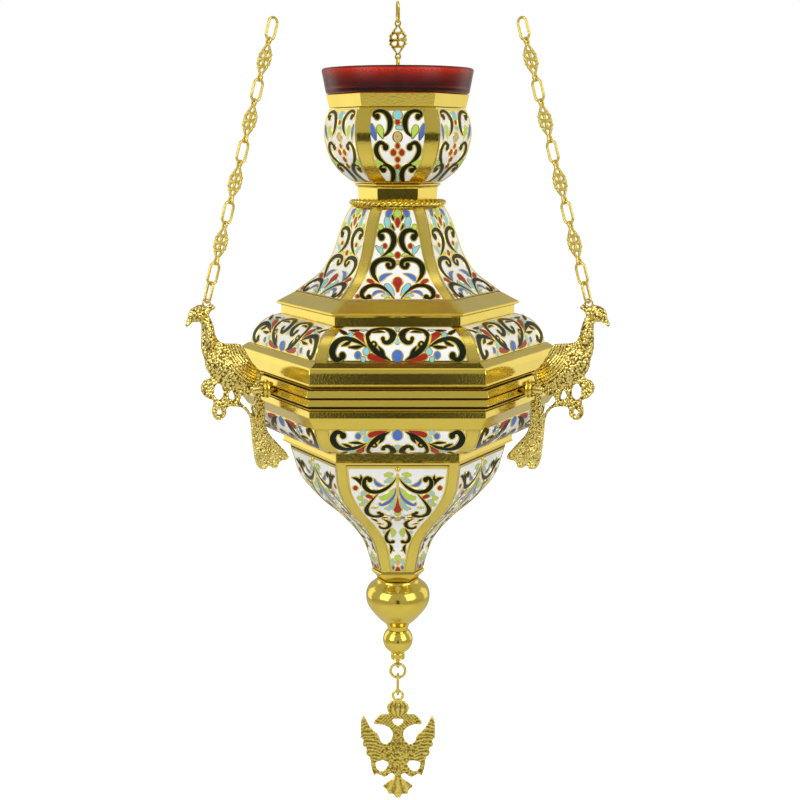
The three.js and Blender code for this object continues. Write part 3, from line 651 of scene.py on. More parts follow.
bowlDrawing = [
    ("ink", [
        (10.2, 3.9, 1), (11.8, 3.3, 0.75), (11.4, 1.5, 0.8), (8.8, 0.8, 0.9), (6, 1.8, 1.15),
        (4, 4.8, 1.4), (3.7, 8, 1.35), (4.6, 11, 0.85), (6.5, 13.2, 0.15),
    ]),
    ("turquoise", [(0, 2.9, 2.4)]),
    ("red", [(0, 6.5, 1.3)]),
    ("turquoise", [(0, 9.2, 0.8), (1.3, 9.3, 1), (1.6, 9.4, 0.9)]),
    ("pearl", [(0, 13.8, 2.4)]),
    ("gold", [(0, 13.6, 0.9)]),
    ("blue", [(13, 8.2, 0.8), (12.4, 10.4, 1.3), (11.8, 12.6, 1.1), (11, 15, 0.2)]),
    ("lime", [(9, 9.6, 1.5), (8.6, 10.8, 1.7), (8, 12.6, 1), (7.5, 14, 0.3)]),
    ("ink", [
        (6, 18.9, 1.1), (7, 17.3, 0.85), (8.8, 16.7, 0.95), (10.4, 18.3, 1.2), (10.7, 21.2, 1.3),
        (9.3, 24.2, 1.15), (7.2, 26.4, 0.7), (5.1, 27.8, 0.15),
    ]),
    ("red", [(0, 18.3, 1.25)]),
    ("red", [(2.1, 21.6, 1.6)]),
    ("red", [(0, 25.2, 1.45)]),
    ("red", [(0, 29.2, 1.4)]),
    ("lime", [(9.8, 26.8, 1.4), (8.6, 27.6, 1.2), (7, 28.6, 0.2)]),
    ("ink", [
        (7.1, 31.4, 1), (8.7, 30.4, 0.7), (7.8, 28.5, 0.8), (4.9, 28.6, 1.1), (2.5, 31.6, 1.3),
        (2.1, 36, 1.25), (2.8, 39.4, 0.75),
    ]),
    ("turquoise", [(0, 31.6, 0.8), (0, 33.6, 0.6), (0, 36, 0.35), (0, 38.8, 1)]),
]

bellDrawing = [
    ("lime", [(0, 2.6, 2.1)]),
    ("blue", [(3.7, 1.4, 1), (4.5, 2.4, 1.6), (4.9, 3.8, 1.2)]),
    ("ink", [(2.8, 3.9, 0.3), (2.4, 5.2, 0.6), (1.9, 6.6, 0.1)]),
    ("ink", [(2.8, 8.4, 0.1), (2.6, 9.8, 0.55), (1.7, 11.2, 0.2)]),
    ("red", [(0, 6.2, 1.1), (0, 7.6, 1.5), (0, 9.4, 0.7)]),
    ("turquoise", [(5.4, 6, 1.3), (5.3, 7.6, 1.6), (5, 9.4, 1.1)]),
    ("lime", [(8.7, 10, 1.3)]),
    ("ink", [
        (8.2, 15.3, 1.1), (9.7, 14.3, 0.75), (8.6, 12.2, 0.95), (5.6, 11.6, 1.15), (3, 13.2, 1.35),
        (1.9, 16.8, 1.45), (3, 20.6, 1.2), (5.4, 23.4, 0.75), (8.2, 25.4, 0.15),
    ]),
    ("red", [(6.5, 19.8, 1.2)]),
    ("turquoise", [(8.1, 24, 0.3), (8.7, 22.2, 1.2), (10.9, 20, 0.3)]),
    ("turquoise", [(8.9, 22.4, 0.4), (8.3, 21, 0.5), (7.9, 19.8, 0.2)]),
    ("red", [(0, 24.6, 1.55)]),
    ("lime", [(2.2, 25, 0.2), (3.9, 24.2, 0.9), (5.4, 24.2, 0.2)]),
    ("ink", [
        (5, 29.9, 0.8), (4.5, 31.3, 1), (2.8, 31.2, 0.9), (1.9, 29.3, 1.1), (3.2, 27.4, 1.2),
        (6.5, 26.8, 1.25), (10.2, 27.9, 1.35), (12.5, 31, 1.45), (12.4, 35, 1.25), (10.9, 38.2, 0.8),
        (9.3, 40.4, 0.2),
    ]),
    ("blue", [(8.6, 38.6, 1), (7.9, 37.2, 1.6), (6, 35.7, 1.2), (3.2, 34.8, 0.2)]),
    ("red", [(0, 39.4, 2.7), (0, 40.4, 3), (0, 41.6, 2.2), (0, 43.6, 1.1), (0, 46.6, 0.5)]),
    ("turquoise", [(5.2, 42.4, 1.4), (4.5, 43.8, 1.6), (3.2, 46.2, 1.2), (2, 49, 0.3)]),
    ("red", [(14.3, 39.1, 1.5), (13.2, 39.8, 1.5), (11.5, 41.2, 0.3)]),
    ("ink", [
        (14.4, 50.4, 1), (16, 51.4, 0.9), (17.8, 50, 1.05), (17.8, 47, 1.2), (16, 44, 1.3),
        (12.6, 42.2, 1.25), (8.4, 43.2, 1.05), (4.6, 47, 0.6), (1.8, 51.8, 0.15),
    ]),
    ("blue", [(12.4, 49.4, 0.4), (11.2, 47.4, 0.9), (9, 46.6, 0.8), (6.8, 47.4, 0.1)]),
    ("turquoise", [(7.6, 49.4, 0.4), (5.8, 49, 0.9), (4.4, 49.8, 0.2)]),
    ("lime", [(5.9, 51.4, 0.3), (5, 51.2, 0.7), (4, 51.5, 0.3)]),
    ("red", [(20, 50, 1.2)]),
    ("pearl", [(0, 27.8, 0.4), (0, 28.5, 0.7), (0, 29.2, 0.4)]),
]

bandDrawing = [
    ("blue", [(0, 19.8, 2.8)]),
    ("red", [(5.2, 22, 0.2), (8.6, 21.3, 1.1), (11.4, 20.6, 1.6), (13, 20, 1.7)]),
    ("turquoise", [(15.3, 17.6, 1.6)]),
    ("turquoise", [(16.8, 21.4, 1.2)]),
    ("blue", [(19.4, 19.3, 1.6)]),
    ("ink", [
        (26.9, 19.6, 1), (28.2, 21.2, 0.9), (30.6, 21, 1.2), (32, 17.6, 1.45), (30, 13, 1.45),
        (25.7, 10.6, 1.3), (20.4, 12, 1.05), (15.6, 15, 0.2),
    ]),
    ("ink", [(16.8, 14.7, 0.1), (19.9, 15.4, 0.8), (23.6, 15.4, 0.3)]),
    ("ink", [(22.3, 12, 0.2), (24.6, 13.4, 0.9), (27, 14.6, 0.3)]),
    ("ink", [
        (4, 21.6, 0.15), (6.5, 20.3, 0.8), (9.5, 18.4, 1.2), (12, 16, 1.2), (13.9, 13.2, 0.95),
        (14.8, 9.5, 0.8), (13.6, 6, 0.9), (10.5, 3.6, 1), (7, 2.9, 1.1), (4.2, 4.4, 1.25),
        (2.3, 7.6, 1.4), (2.6, 10.8, 1.4), (4.4, 12.8, 1.15), (6.6, 12.6, 0.95), (7.2, 10.8, 0.7),
    ]),
    ("ink", [(11.4, 15.6, 0.5), (10.4, 13.8, 0.5), (11.6, 12.4, 0.5), (12.8, 13.4, 0.6)]),
    ("ink", [(6, 19.6, 0.1), (7.6, 17.4, 0.8), (9.2, 15, 0.15)]),
    ("ink", [(6.4, 6.4, 0.1), (9, 5.9, 0.65), (11.8, 6.6, 0.3)]),
    ("red", [(19.4, 7.8, 1.7), (18.6, 9, 2.2), (17.2, 11.6, 1), (16, 13.4, 0.2)]),
    ("turquoise", [(23, 8.4, 1.4)]),
    ("turquoise", [(15.6, 4.6, 0.4), (16.8, 4.7, 0.9), (18, 4.6, 0.4)]),
    ("ink", [(18.6, 4.6, 0.2), (20.8, 5.2, 0.9), (23.4, 5, 0.3)]),
    ("ink", [(24.9, 7.8, 0.2), (26.4, 6.8, 1), (28.8, 4.2, 0.3)]),
    ("turquoise", [(0, 2.6, 1.3), (0, 4.2, 0.8), (0, 5.8, 0.2)]),
    ("turquoise", [(0, 10.2, 0.3), (0, 11.8, 1), (0, 12.8, 1)]),
]

taperDrawing = [
    ("lime", [(3.2, 4.8, 0.7), (4.6, 5.1, 1.3), (6, 5.2, 0.7)]),
    ("turquoise", [(2.2, 7, 0.3), (4.3, 8.2, 1.1), (6, 9.1, 0.7)]),
    ("blue", [(11.9, 7.7, 0.3), (11.2, 9.6, 0.9), (9.6, 11, 1.1), (7.3, 11.4, 0.2)]),
    ("ink", [
        (0.7, 6.9, 0.15), (2.9, 10.2, 0.55), (6.5, 13.5, 1), (10.6, 15.3, 1.25), (14.6, 14.6, 1.35),
        (17.1, 11.4, 1.3), (17, 8.2, 1.1), (15.4, 6.6, 0.9), (14.3, 7.8, 1),
    ]),
    ("ink", [(18.9, 11, 0.2), (19.6, 8.8, 1), (21.2, 7.3, 0.95), (23.3, 6.7, 0.2)]),
    ("ink", [(18.9, 5.4, 0.2), (18.6, 7, 0.8), (19.2, 9, 0.5)]),
    ("red", [(21.7, 12.8, 1.35)]),
    ("turquoise", [(17.6, 16.4, 1.3)]),
    ("turquoise", [(17.1, 22.1, 1.3)]),
    ("red", [(15.2, 18.2, 1.4), (14, 18.9, 1.4), (12.8, 20.2, 0.3)]),
    ("lime", [(19.4, 19.7, 1.35)]),
    ("lime", [(18.6, 24.9, 1.2)]),
    ("ink", [
        (10.3, 16.8, 0.15), (12.6, 20.2, 0.5), (15, 24.6, 0.85), (16.3, 29, 1.25), (15.6, 33.2, 1.25),
        (12.8, 35.7, 1.15), (9.8, 35.6, 1.35), (8.2, 33.8, 1.2), (9.8, 32.2, 0.8),
    ]),
    ("lime", [(10.8, 27.4, 0.4), (11.9, 27.6, 1.1), (13, 27.8, 0.4)]),
    ("red", [(0, 18.6, 0.15), (0, 22, 0.55), (0, 26.2, 1.3), (0, 29.4, 2.4), (0, 30.8, 1.7)]),
    ("turquoise", [(1.1, 20.4, 0.15), (2.6, 24.6, 0.9), (3.9, 27.8, 1.2), (4.6, 29.6, 0.5)]),
    ("turquoise", [(5.2, 27.3, 0.3), (5.8, 28.1, 0.7), (6.4, 28.8, 0.3)]),
    ("blue", [
        (0.9, 13, 0.15), (1.6, 17, 0.6), (3.7, 21.4, 1), (6.4, 24.1, 1.15), (8.6, 25.2, 1),
        (9.2, 23.9, 0.5),
    ]),
    ("lime", [(2, 13.6, 0.2), (3.4, 16.2, 1.2), (5.6, 18.4, 1.6), (8, 20.2, 1.1), (8.8, 19, 0.5)]),
    ("lime", [(0, 33.3, 1.6)]),
    ("gold", [(0, 5, 0.3), (0, 9, 0.25), (0, 18, 0.15)]),
    ("turquoise", [(4.1, 34.4, 0.3), (5.1, 34.5, 0.8), (6.1, 34.3, 0.3)]),
    ("red", [(5.7, 36.9, 0.3), (6.9, 37, 1), (8, 37, 0.3)]),
    ("blue", [(2.7, 37, 1)]),
    ("turquoise", [(3.9, 39.5, 0.4), (4.6, 39.7, 0.8), (5.3, 39.5, 0.4)]),
    ("pearl", [(0, 38.8, 1.6)]),
    ("ink", [(13.6, 38.2, 0.2), (12.2, 39.4, 0.8), (10.8, 41.4, 0.2)]),
    ("ink", [
        (8.1, 38.6, 0.2), (5.8, 40.6, 0.85), (4.3, 43.6, 1.05), (4.8, 46.8, 1.05), (6.8, 48.6, 1),
        (9, 47.8, 0.9), (9.7, 46.2, 0.3),
    ]),
    ("red", [(10.8, 43.6, 0.2), (9.4, 43.8, 0.65), (8, 44.2, 0.2)]),
    ("turquoise", [(7.2, 51.6, 0.4), (7.2, 52.3, 0.8), (7.1, 53, 0.4)]),
    ("ink", [
        (4, 49.2, 0.2), (5.4, 52.6, 0.8), (6.3, 56, 0.9), (5.9, 59.2, 1), (4.3, 60.9, 1),
        (2.7, 60.3, 0.8),
    ]),
    ("lime", [(3, 49, 0.3), (2.3, 52.2, 1.2), (2.6, 55.6, 0.4)]),
    ("ink", [(4.5, 62.2, 0.1), (3.4, 65, 0.85), (4.1, 68.8, 0.1)]),
    ("ink", [(3.4, 65.6, 0.4), (2.1, 66.8, 0.2)]),
    ("lime", [(0, 71.4, 1.5)]),
    ("turquoise", [(2.8, 72.8, 0.6), (2.8, 74, 1.1), (2.8, 75.2, 0.5)]),
    ("pearl", [(0, 73.2, 0.7), (0, 74.2, 1.2), (0, 75.2, 0.7)]),
    ("blue", [(2.4, 76.8, 0.6), (2.5, 77.6, 1.1), (2.6, 78.4, 0.6)]),
    ("red", [(0, 78.2, 1.1), (0, 79, 1.7)]),
]

drawings = {"bowl": bowlDrawing, "bell": bellDrawing, "taper": taperDrawing, "upper_band": bandDrawing}
bandLength = 22.7
drawings["lower_band"] = [
    (shade, [(x, bandLength - along, half) for x, along, half in path]) for shade, path in bandDrawing
]


def strokeRows(path, grow):
    if len(path) == 1:  # a round cell
        x, along, half = path[0]
        path = [(x, along - 0.05, half), (x, along + 0.05, half)]
    reach = sum(math.dist(a[:2], b[:2]) for a, b in zip(path, path[1:]))
    count = max(4, round(reach / stroke["step"])) if len(path) > 2 else 1
    points = [curvePoint(path, i / count) for i in range(count + 1)]
    rows = []
    for i, (x, along, half) in enumerate(points):
        before, after = points[max(i - 1, 0)], points[min(i + 1, count)]
        run = Vector((after[0] - before[0], before[1] - after[1])).normalized()
        rows.append((Vector((x, -along)), run, max(half, stroke["thinnest"]) + grow))

    def rounded(row, sign):
        middle, run, half = row
        return [(middle + run * sign * half * k, run, half * math.sqrt(1 - k * k)) for k in roundings]
    return rounded(rows[0], -1)[::-1] + rows + rounded(rows[-1], 1)


def drawStroke(bm, path, shade, grow, height):
    rows = strokeRows(path, grow)
    sunk, shoulder = stroke["sunk"], stroke["shoulder"]
    shape = [(-1, sunk), (-shoulder, height), (0, height * stroke["crown"]), (shoulder, height), (1, sunk)]
    shape.append(shape[0])

    def place(i, j):
        middle, run, half = rows[j]
        share, lift = shape[i]
        spot = middle + Vector((-run.y, run.x)) * share * half
        return Vector((spot.x, spot.y, lift))
    faceSheet(bm, shape, rows, place, 0, shade)


def mirrored(path):
    return [(-x, along, half) for x, along, half in path]


def drawFlat(drawing, inkWidth):
    bm = bmesh.new()
    for shade, path in drawing:
        if shade == "ink":
            path = [(x, along, half * inkWidth) for x, along, half in path]
        sides = [path] if path[0][0] == 0 else [path, mirrored(path)]
        if shade == "ink":  # scrolls end in round heads
            tips = [tip for tip in (path[0], path[-1]) if tip[2] >= scroll["from"]]
            heads = [[(x, along, half * scroll["head"])] for x, along, half in tips]
            sides += heads + [mirrored(head) for head in heads]
        for side in sides:
            drawStroke(bm, side, 0, wire["width"], wire["height"])
            drawStroke(bm, side, shades.index(shade), 0, enamelHeight)
    bmesh.ops.remove_doubles(bm, verts=bm.verts, dist=0.0005)
    bmesh.ops.dissolve_degenerate(bm, edges=bm.edges, dist=0.0005)
    return bm


def addRims(bm, tier, face):
    top, bottom = tier.settings["ends"]
    height = plate["proud"] + wire["height"]
    end = tier.total - bottom
    stops = steps(top, end, plate["rows"])

    def bar(width):
        return [(0, 0), (0, height), (width, height), (width, 0), (0, 0)]
    profile = bar(wire["rim"])
    shares = steps(-1, 1, plate["columns"])
    for side in (-1, 1):
        def place(i, j):
            inward, lift = profile[i] if side > 0 else profile[-1 - i]
            return tier.point(face, side * (tier.plateWidth(face, stops[j]) - inward), stops[j], lift)
        faceSheet(bm, profile, stops, place)
    for start, inwards in ((top, 1), (end, -1)):
        width = tier.settings.get("topRim", wire["rim"]) if inwards > 0 else wire["rim"]
        profile = bar(width)

        def place(i, j):
            inward, lift = profile[j] if inwards > 0 else profile[-1 - j]
            along = start + inward * inwards
            return tier.point(face, shares[i] * tier.plateWidth(face, along), along, lift)
        faceSheet(bm, shares, profile, place)
    sunk, raised = shadeLine["sunk"], shadeLine["raised"]
    for near, far in tier.settings.get("lines", ()):  # lines of painted shade above (negative) or below the panel, where its edges fall in shadow
        base = top if far <= 0 else end
        profile = [(near, sunk), (near, raised), (far, raised), (far, sunk), (near, sunk)]

        def place(i, j):
            offset, lift = profile[j]
            along = base + offset
            return tier.point(face, shares[i] * tier.plateWidth(face, along), along, lift)
        faceSheet(bm, shares, profile, place, 0, len(shades))
    if "bead" in tier.settings:
        radius = tier.settings["bead"]
        spot = Matrix.Translation(tier.point(face, 0, top + radius + plate["gap"], 0))
        made = bmesh.ops.create_uvsphere(bm, u_segments=16, v_segments=10, radius=radius, matrix=spot)
        for panel in {panel for corner in made["verts"] for panel in corner.link_faces}:
            panel.material_index = 0


# the last finish is the painted shade of the lines along the plates
ornamentFinishes = [gilt] + [enamels[shade] for shade in shades[1:]] + [paintedShade]


def makeOrnament(tier):
    drawn = drawFlat(drawings[tier.name], tier.settings["ink"])
    top, bottom = tier.settings["ends"]
    for face in faceAngles:
        bm = drawn.copy()
        for corner in bm.verts:
            x, up, lift = corner.co
            along = min(max(top - up, top), tier.total - bottom)
            ratio = tier.plateWidth(face, along) / tier.plateWidth("front", along)
            corner.co = tier.point(face, x * ratio, along, plate["proud"] + lift)
        addRims(bm, tier, face)
        finish(bm, f"{tier.name}_ornament_{face}", ornamentFinishes)
    drawn.free()


builtTiers = {name: Tier(name) for name in tiers}
for tier in builtTiers.values():
    makeFrame(tier)
    makePlates(tier)
    makeOrnament(tier)
    print(tier.name, "shell, plates and ornament made, along", round(tier.total, 1))


# six-sided mouldings: outlines as (radius at the corners, height), from the bore outwards

rodBore = 3.3  # radius of the hole for the tie rod


def arc(middle, radii, start, end, count=8):
    angles = [math.radians(a) for a in steps(start, end, count)]
    return [(middle[0] + radii[0] * math.cos(a), middle[1] + radii[1] * math.sin(a)) for a in angles]


girdleEdge = 88.7  # radius at the corners of its widest reed


def girdleProfile(low, top):
    reed, flatRadius = girdleEdge, 85.8
    return [
        (73.5, top - 1.5), (79.5, top - 1.5), (79.5, top), (80.8, top), (84.8, top - 2.4),
        *arc((flatRadius - 1, top - 6.2), (1, 3.5), 72, 0, 7),
        (flatRadius, top - 10.3), (86.4, top - 10.5), (86.4, top - 11.1),
        (83.6, top - 11.6), (83.6, top - 12.8), (87, top - 13),
        (reed, top - 15.8), (reed, top - 16.2), (85.2, top - 16.6), (85.2, top - 17.4), (86.6, top - 17.6),
        (reed - 0.5, top - 20.1), (reed - 0.5, top - 20.6), (84.9, top - 21), (84.9, top - 22),
        (86.7, top - 22.2), (86.7, top - 22.7), (84.9, top - 22.9), (84.9, top - 23.3),
        (86.1, top - 23.5), (86.1, top - 27), (82.2, low + 0.9), (81.6, low), (80.7, low),
        (80.7, low + 1.5), (74.7, low + 1.5), (79.7, low + 6), (79.7, top - 6),
    ]


def corniceProfile(low, top):
    return [
        (57.5, low), (62.5, low), (62.5, top - 1.9), (63.2, top - 1.5), (64.4, top - 1.2),
        *arc((64.5, top - 0.6), (0.6, 0.6), -90, 90, 16), (57.5, top),
    ]


def neckProfile(low, top):
    return [
        (8, top - 2), (8, top), (22.4, top), (22.8, top - 0.4), (22.6, top - 0.9),
        (21.4, top - 1.5), (21, top - 2.2), (20.9, top - 5),
        (20.4, low + 0.6), (20.4, low), (18.2, low), (18.8, top - 2),
    ]


def collarProfile(low, top):
    return [(32.9, top - 1.6), (32.9, top), (37.4, top), (35.7, low), (33, low), (34.6, top - 1.6)]


def lowerCorniceProfile(low, top):
    return [
        (57.5, top), (57.5, low), (62.5, low), (63, low + 0.4), (63, low + 0.8),
        (62.4, low + 1.1), (62.4, top),
    ]


# depths below the girdle's top between which its grooves are painted dark, a painted shade
girdleGrooves = [(11.45, 12.7), (16.45, 17.4), (20.9, 21.95), (22.85, 23.35)]
mouldings = {
    "girdle": {"profile": girdleProfile, "edge": 0.2, "grooves": girdleGrooves},
    "cornice": {"profile": corniceProfile, "edge": 0.15},
    "neck_ring": {"profile": neckProfile, "edge": 0.15},
    "collar": {"profile": collarProfile, "edge": 0.2},
    "lower_cornice": {"profile": lowerCorniceProfile, "edge": 0.15},
}


def makeMouldings():
    for name, settings in mouldings.items():
        low, top = heightOf(name)
        bm = spun(settings["profile"](low, top), 6)
        bevelSharp(bm, settings["edge"], 20, 1)
        # faces inside the girdle's grooves take the painted shade
        for panel in bm.faces:
            drop = top - panel.calc_center_median().z
            grooves = settings.get("grooves", ())
            panel.material_index = 1 if any(start < drop < end for start, end in grooves) else 0
        finish(bm, name + "_moulding", [gilt, paintedShade], [name], smooth=12)


def makeBaseCup():
    low, top = heightOf("base_cup")
    rim, foot, wall, skew = 15, 11.4, 1.2, 8
    profile = [
        (rodBore, low), (foot, low), (foot + 1.6, low + 2), (rim - 0.6, top - 1.8),
        *arc((rim - 0.4, top - 0.7), (0.4, 0.7), -90, 90, 16),
        (rim - wall, top - 0.1), (rim - 2.4, top - 0.7), (rodBore, top - 0.7),
    ]
    bm = spun(profile, 6)
    for corner in bm.verts:  # the cup follows the narrow bird faces of the taper's foot
        spoke = round(math.degrees(math.atan2(corner.co.y, corner.co.x)) / 60)
        share = min(max((corner.co.z - low) / (top - 1.4 - low), 0), 1)
        turn = math.radians(skew * share) * (1 if spoke % 2 else -1)
        corner.co = Matrix.Rotation(turn, 3, "Z") @ corner.co
    bevelSharp(bm, 0.25, 20, 1)
    finish(bm, "base_cup_dish", [gilt], ["base_cup"], smooth=12)


makeMouldings()
makeBaseCup()
print("mouldings made")


# turned pieces

nearAxis = 0.01  # an outline that ends on the axis stops this short of it


def makeBulb():
    low, top = heightOf("finial_bulb")
    neckRadius, full, waist = 11.6, 17.8, 5.8
    outline = [
        (neckRadius, top), (neckRadius + 0.6, top - 1.4), (full * 0.92, top - 5), (full, top - 10),
        (full * 0.93, top - 15.8), (full * 0.64, top - 22.6), (waist + 1, top - 27), (waist, low),
    ]
    curve = [curvePoint(outline, share) for share in steps(0, 1, 60)]
    bm = spun([(rodBore, top), *curve, (rodBore, low)], 96)
    bevelSharp(bm, 0.15, 50)
    finish(bm, "finial_bulb_turned", [gilt], ["finial_bulb"])


def makeBall():
    low, top = heightOf("finial_ball")
    radius, height, rodDepth, bossHeight, cut = 8.4, 12, 9.5, 6, math.degrees(math.acos(0.68))
    eyeRadius, hole, thickness, drop = 2.7, 1.5, 2, 2.3
    bottom = top - height
    boss, seat = bottom - bossHeight, top - rodDepth
    swell = height / 2 / math.sin(math.radians(cut))
    bm = spun([
        (rodBore, seat), (rodBore, top), *arc((0, (top + bottom) / 2), (radius, swell), cut, -cut, 40),
        (3.7, bottom - 0.5), *arc((3.5, bottom - 1.1), (0.6, 0.5), 90, -90, 5),
        (3.6, bottom - 1.8), (3.9, bottom - 2.2), (3.9, bottom - 4.4),
        *arc((3.3, boss + 1.1), (0.7, 0.7), 60, -90, 6), (nearAxis, boss), (nearAxis, seat),
    ], 96)
    half = thickness / 2
    ringShape = [(hole, 0.4 - half), (hole + 0.3, -half), (eyeRadius - 0.4, -half), (eyeRadius, 0.4 - half)]
    ringShape += [(r, -z) for r, z in reversed(ringShape)]
    eye = spun(ringShape, 48)
    turnBy(eye, 90, "Y")
    moveBy(eye, 0, 0, boss - drop)
    stem = bmesh.new()
    shape = Matrix.Translation((0, 0, boss)) @ Matrix.Diagonal((thickness - 0.3, 3.6, 1, 1))
    bmesh.ops.create_cube(stem, size=1, matrix=shape)
    addTo(bm, eye)
    addTo(bm, stem)
    finish(bm, "finial_ball_turned", [gilt], ["finial_ball"])


def makeGlassCup():
    low, top = heightOf("glass_cup")
    rim, skirt, skirtHeight, body, foot, wall, floor = 39.5, 37.4, 12.8, 27.9, 20, 2.2, 3
    seat = top - skirtHeight
    profile = [
        (nearAxis, low), *arc((foot - 1.5, low + 1.5), (1.5, 1.5), -90, 0, 6),
        (body, seat - 2.5), (body + 0.15, seat - 0.6), (body + 0.6, seat),
        (skirt - 0.7, seat), (skirt, seat + 0.7), (rim, top - 1.1),
        *arc((rim - wall / 2, top - 1.1), (wall / 2, 1.1), 15, 165, 8),
        (rim - wall, top - 1.1), (skirt - wall - 0.1, seat + wall + 1.6),
        (skirt - wall - 1.2, seat + wall + 0.4), (body - wall + 0.8, seat + wall - 0.6),
        (body - wall, seat - 1.6), (foot - wall, low + floor + 1.5),
        *arc((foot - wall - 1.5, low + floor + 1.5), (1.5, 1.5), 0, -90, 6), (nearAxis, low + floor),
    ]
    finish(spun(profile, 128), "glass_cup_blown", [redGlass], ["glass_cup"], "glass")


def makeSockets():
    face = girdleEdge * flat + 0.3
    outline = [
        (2.6, face), (4.5, face), (4.8, face + 0.3), (4.8, face + 0.9),
        (4.4, face + 1.3), (3.9, face + 1.5),
        *arc((3.7, face + 2.35), (0.6, 0.75), 70, -70, 6), (3.2, face + 3.2), (2.6, face + 3.2),
    ]
    for bird, angle in birdNames.items():
        bm = spun(outline, 48)
        turnBy(bm, 90, "Y")
        turnBy(bm, angle, "Z")
        moveBy(bm, 0, 0, bracketLine)
        finish(bm, f"bird_socket_{bird}_turned", [gilt], [f"bird_socket_{bird}"])


makeBulb()
makeBall()
makeGlassCup()
makeSockets()
print("turned pieces made")


# shapes made by curves and modifiers

def evaluated(data, modifiers=()):
    holder = bpy.data.objects.new("holder", data)
    scene.collection.objects.link(holder)
    for kind, settings in modifiers:
        modifier = holder.modifiers.new(kind.lower(), kind)
        for key, value in settings.items():
            setattr(modifier, key, value)
    bpy.context.view_layer.update()
    graph = bpy.context.evaluated_depsgraph_get()
    mesh = bpy.data.meshes.new_from_object(holder.evaluated_get(graph))
    bm = bmesh.new()
    bm.from_mesh(mesh)
    bpy.data.objects.remove(holder)
    bpy.data.meshes.remove(mesh)
    return bm


def fromCurve(settings, loops):
    curve = bpy.data.curves.new("curve", "CURVE")
    for key, value in settings.items():
        setattr(curve, key, value)
    for points in loops:
        spline = curve.splines.new("POLY")
        spline.points.add(len(points) - 1)
        for spot, point in zip(spline.points, points):
            spot.co = (*point, 1)
        spline.use_cyclic_u = True
    bm = evaluated(curve)
    bpy.data.curves.remove(curve)
    bmesh.ops.remove_doubles(bm, verts=bm.verts, dist=0.0001)
    bmesh.ops.recalc_face_normals(bm, faces=bm.faces)
    return bm


def wireAlong(points, radius, roundness=2):
    settings = {"dimensions": "3D", "bevel_depth": radius, "bevel_resolution": roundness}
    return fromCurve(settings, [points])


def makeRope():
    low, top = heightOf("rope_ring")
    ropeRadius, strands, twists, perTwist = 24.2, 2, 24, 12
    reach = (top - low) / 4
    bm = bmesh.new()
    for strand in range(strands):
        points = []
        for i in range(twists * perTwist):
            around = 2 * math.pi * i / (twists * perTwist)
            twist = 2 * math.pi * (i / perTwist + strand / strands)
            out, up = ropeRadius + reach * math.cos(twist), reach * math.sin(twist)
            points.append((out * math.cos(around), out * math.sin(around), (low + top) / 2 + up))
        addTo(bm, wireAlong(points, reach, 2))
    finish(bm, "rope_ring_twisted", [gilt], ["rope_ring"], smooth=60)


def loopPoints(length, width, wireSize, count=28):
    end = width / 2 - wireSize / 2
    straight = length / 2 - wireSize / 2 - end
    points = []
    for i in range(count):
        a = 2 * math.pi * (i + 0.5) / count
        lift = straight if math.sin(a) > 0 else -straight
        points.append((end * math.cos(a), 0, lift + end * math.sin(a)))
    return points


def makePendant():
    wireSize, drawn, linkWidth = 1.5, 0.57, 7  # the drawn radius is a share of the wire's size
    low, top = heightOf("pendant_ring")
    bm = wireAlong(loopPoints(top - low, top - low, wireSize, 48), wireSize * drawn, 3)
    moveBy(bm, 0, 0, (low + top) / 2)
    finish(bm, "pendant_ring_wire", [castGilt], ["pendant_ring"], "ring")
    low, top = heightOf("pendant_link")
    bm = wireAlong(loopPoints(top - low, linkWidth, wireSize), wireSize * drawn, 3)
    turnBy(bm, 90, "Z")
    moveBy(bm, 0, 0, (low + top) / 2)
    finish(bm, "pendant_link_wire", [castGilt], ["pendant_link"], "link")


# castings: closed outlines in the XZ plane, pierced, given thickness and rounded edges

def roundedLoop(points, per=4):
    count = len(points)
    loop = []
    for i in range(count):
        window = [points[(i + k) % count] for k in (-1, 0, 1, 2)]
        for step in range(per):
            loop.append(curvePoint(window, (1 + step / per) / 3))
    return loop


def mirroredHalf(half):
    return half + [(-x, z) for x, z in reversed(half)]


def circle(x, z, radius, count=20):
    angles = [2 * math.pi * i / count for i in range(count)]
    return [(x + radius * math.cos(a), z + radius * math.sin(a)) for a in angles]


def pierced(loops, thickness, edge, inset=0.0):
    settings = {
        "dimensions": "2D", "fill_mode": "BOTH", "extrude": thickness / 2 - edge,
        "bevel_depth": edge, "bevel_resolution": 1, "offset": -edge - inset,
    }
    bm = fromCurve(settings, [[(x, z, 0) for x, z in points] for points in loops])
    turnBy(bm, 90, "X")
    return bm


def addLump(bm, x, z, long, short, thick, turn):
    shape = Matrix.Translation((x, 0, z)) @ Matrix.Rotation(-math.radians(turn), 4, "Y")
    shape = shape @ Matrix.Diagonal((long, thick, short, 1))
    bmesh.ops.create_uvsphere(bm, u_segments=32, v_segments=20, radius=1, matrix=shape)


def addEye(bm, x, z, hole, radius, thickness):
    edge = 0.35
    half = thickness / 2
    shape = [(hole, -half + edge), (hole + edge, -half), (radius - edge, -half), (radius, -half + edge)]
    shape += [(r, -y) for r, y in reversed(shape)]
    made = spun(shape, 40)
    turnBy(made, 90, "X")
    moveBy(made, x, 0, z)
    addTo(bm, made)


def remeshed(bm, voxel):
    mesh = meshFrom(bm, "rough")
    skin = ("REMESH", {"mode": "VOXEL", "voxel_size": voxel})
    out = evaluated(mesh, [skin, ("SMOOTH", {"factor": 0.5, "iterations": 2})])
    bpy.data.meshes.remove(mesh)
    out.normal_update()
    return out


def carve(bm, relief, depth):
    layer = bm.verts.layers.float.new("relief")
    moves = []
    for corner in bm.verts:
        value = min(max(relief(corner.co), 0), 1)  # 1 on the ridges, 0 in the pits
        corner[layer] = value
        moves.append(corner.co - corner.normal * depth * (1 - value))
    for corner, spot in zip(bm.verts, moves):
        corner.co = spot
    bm.normal_update()


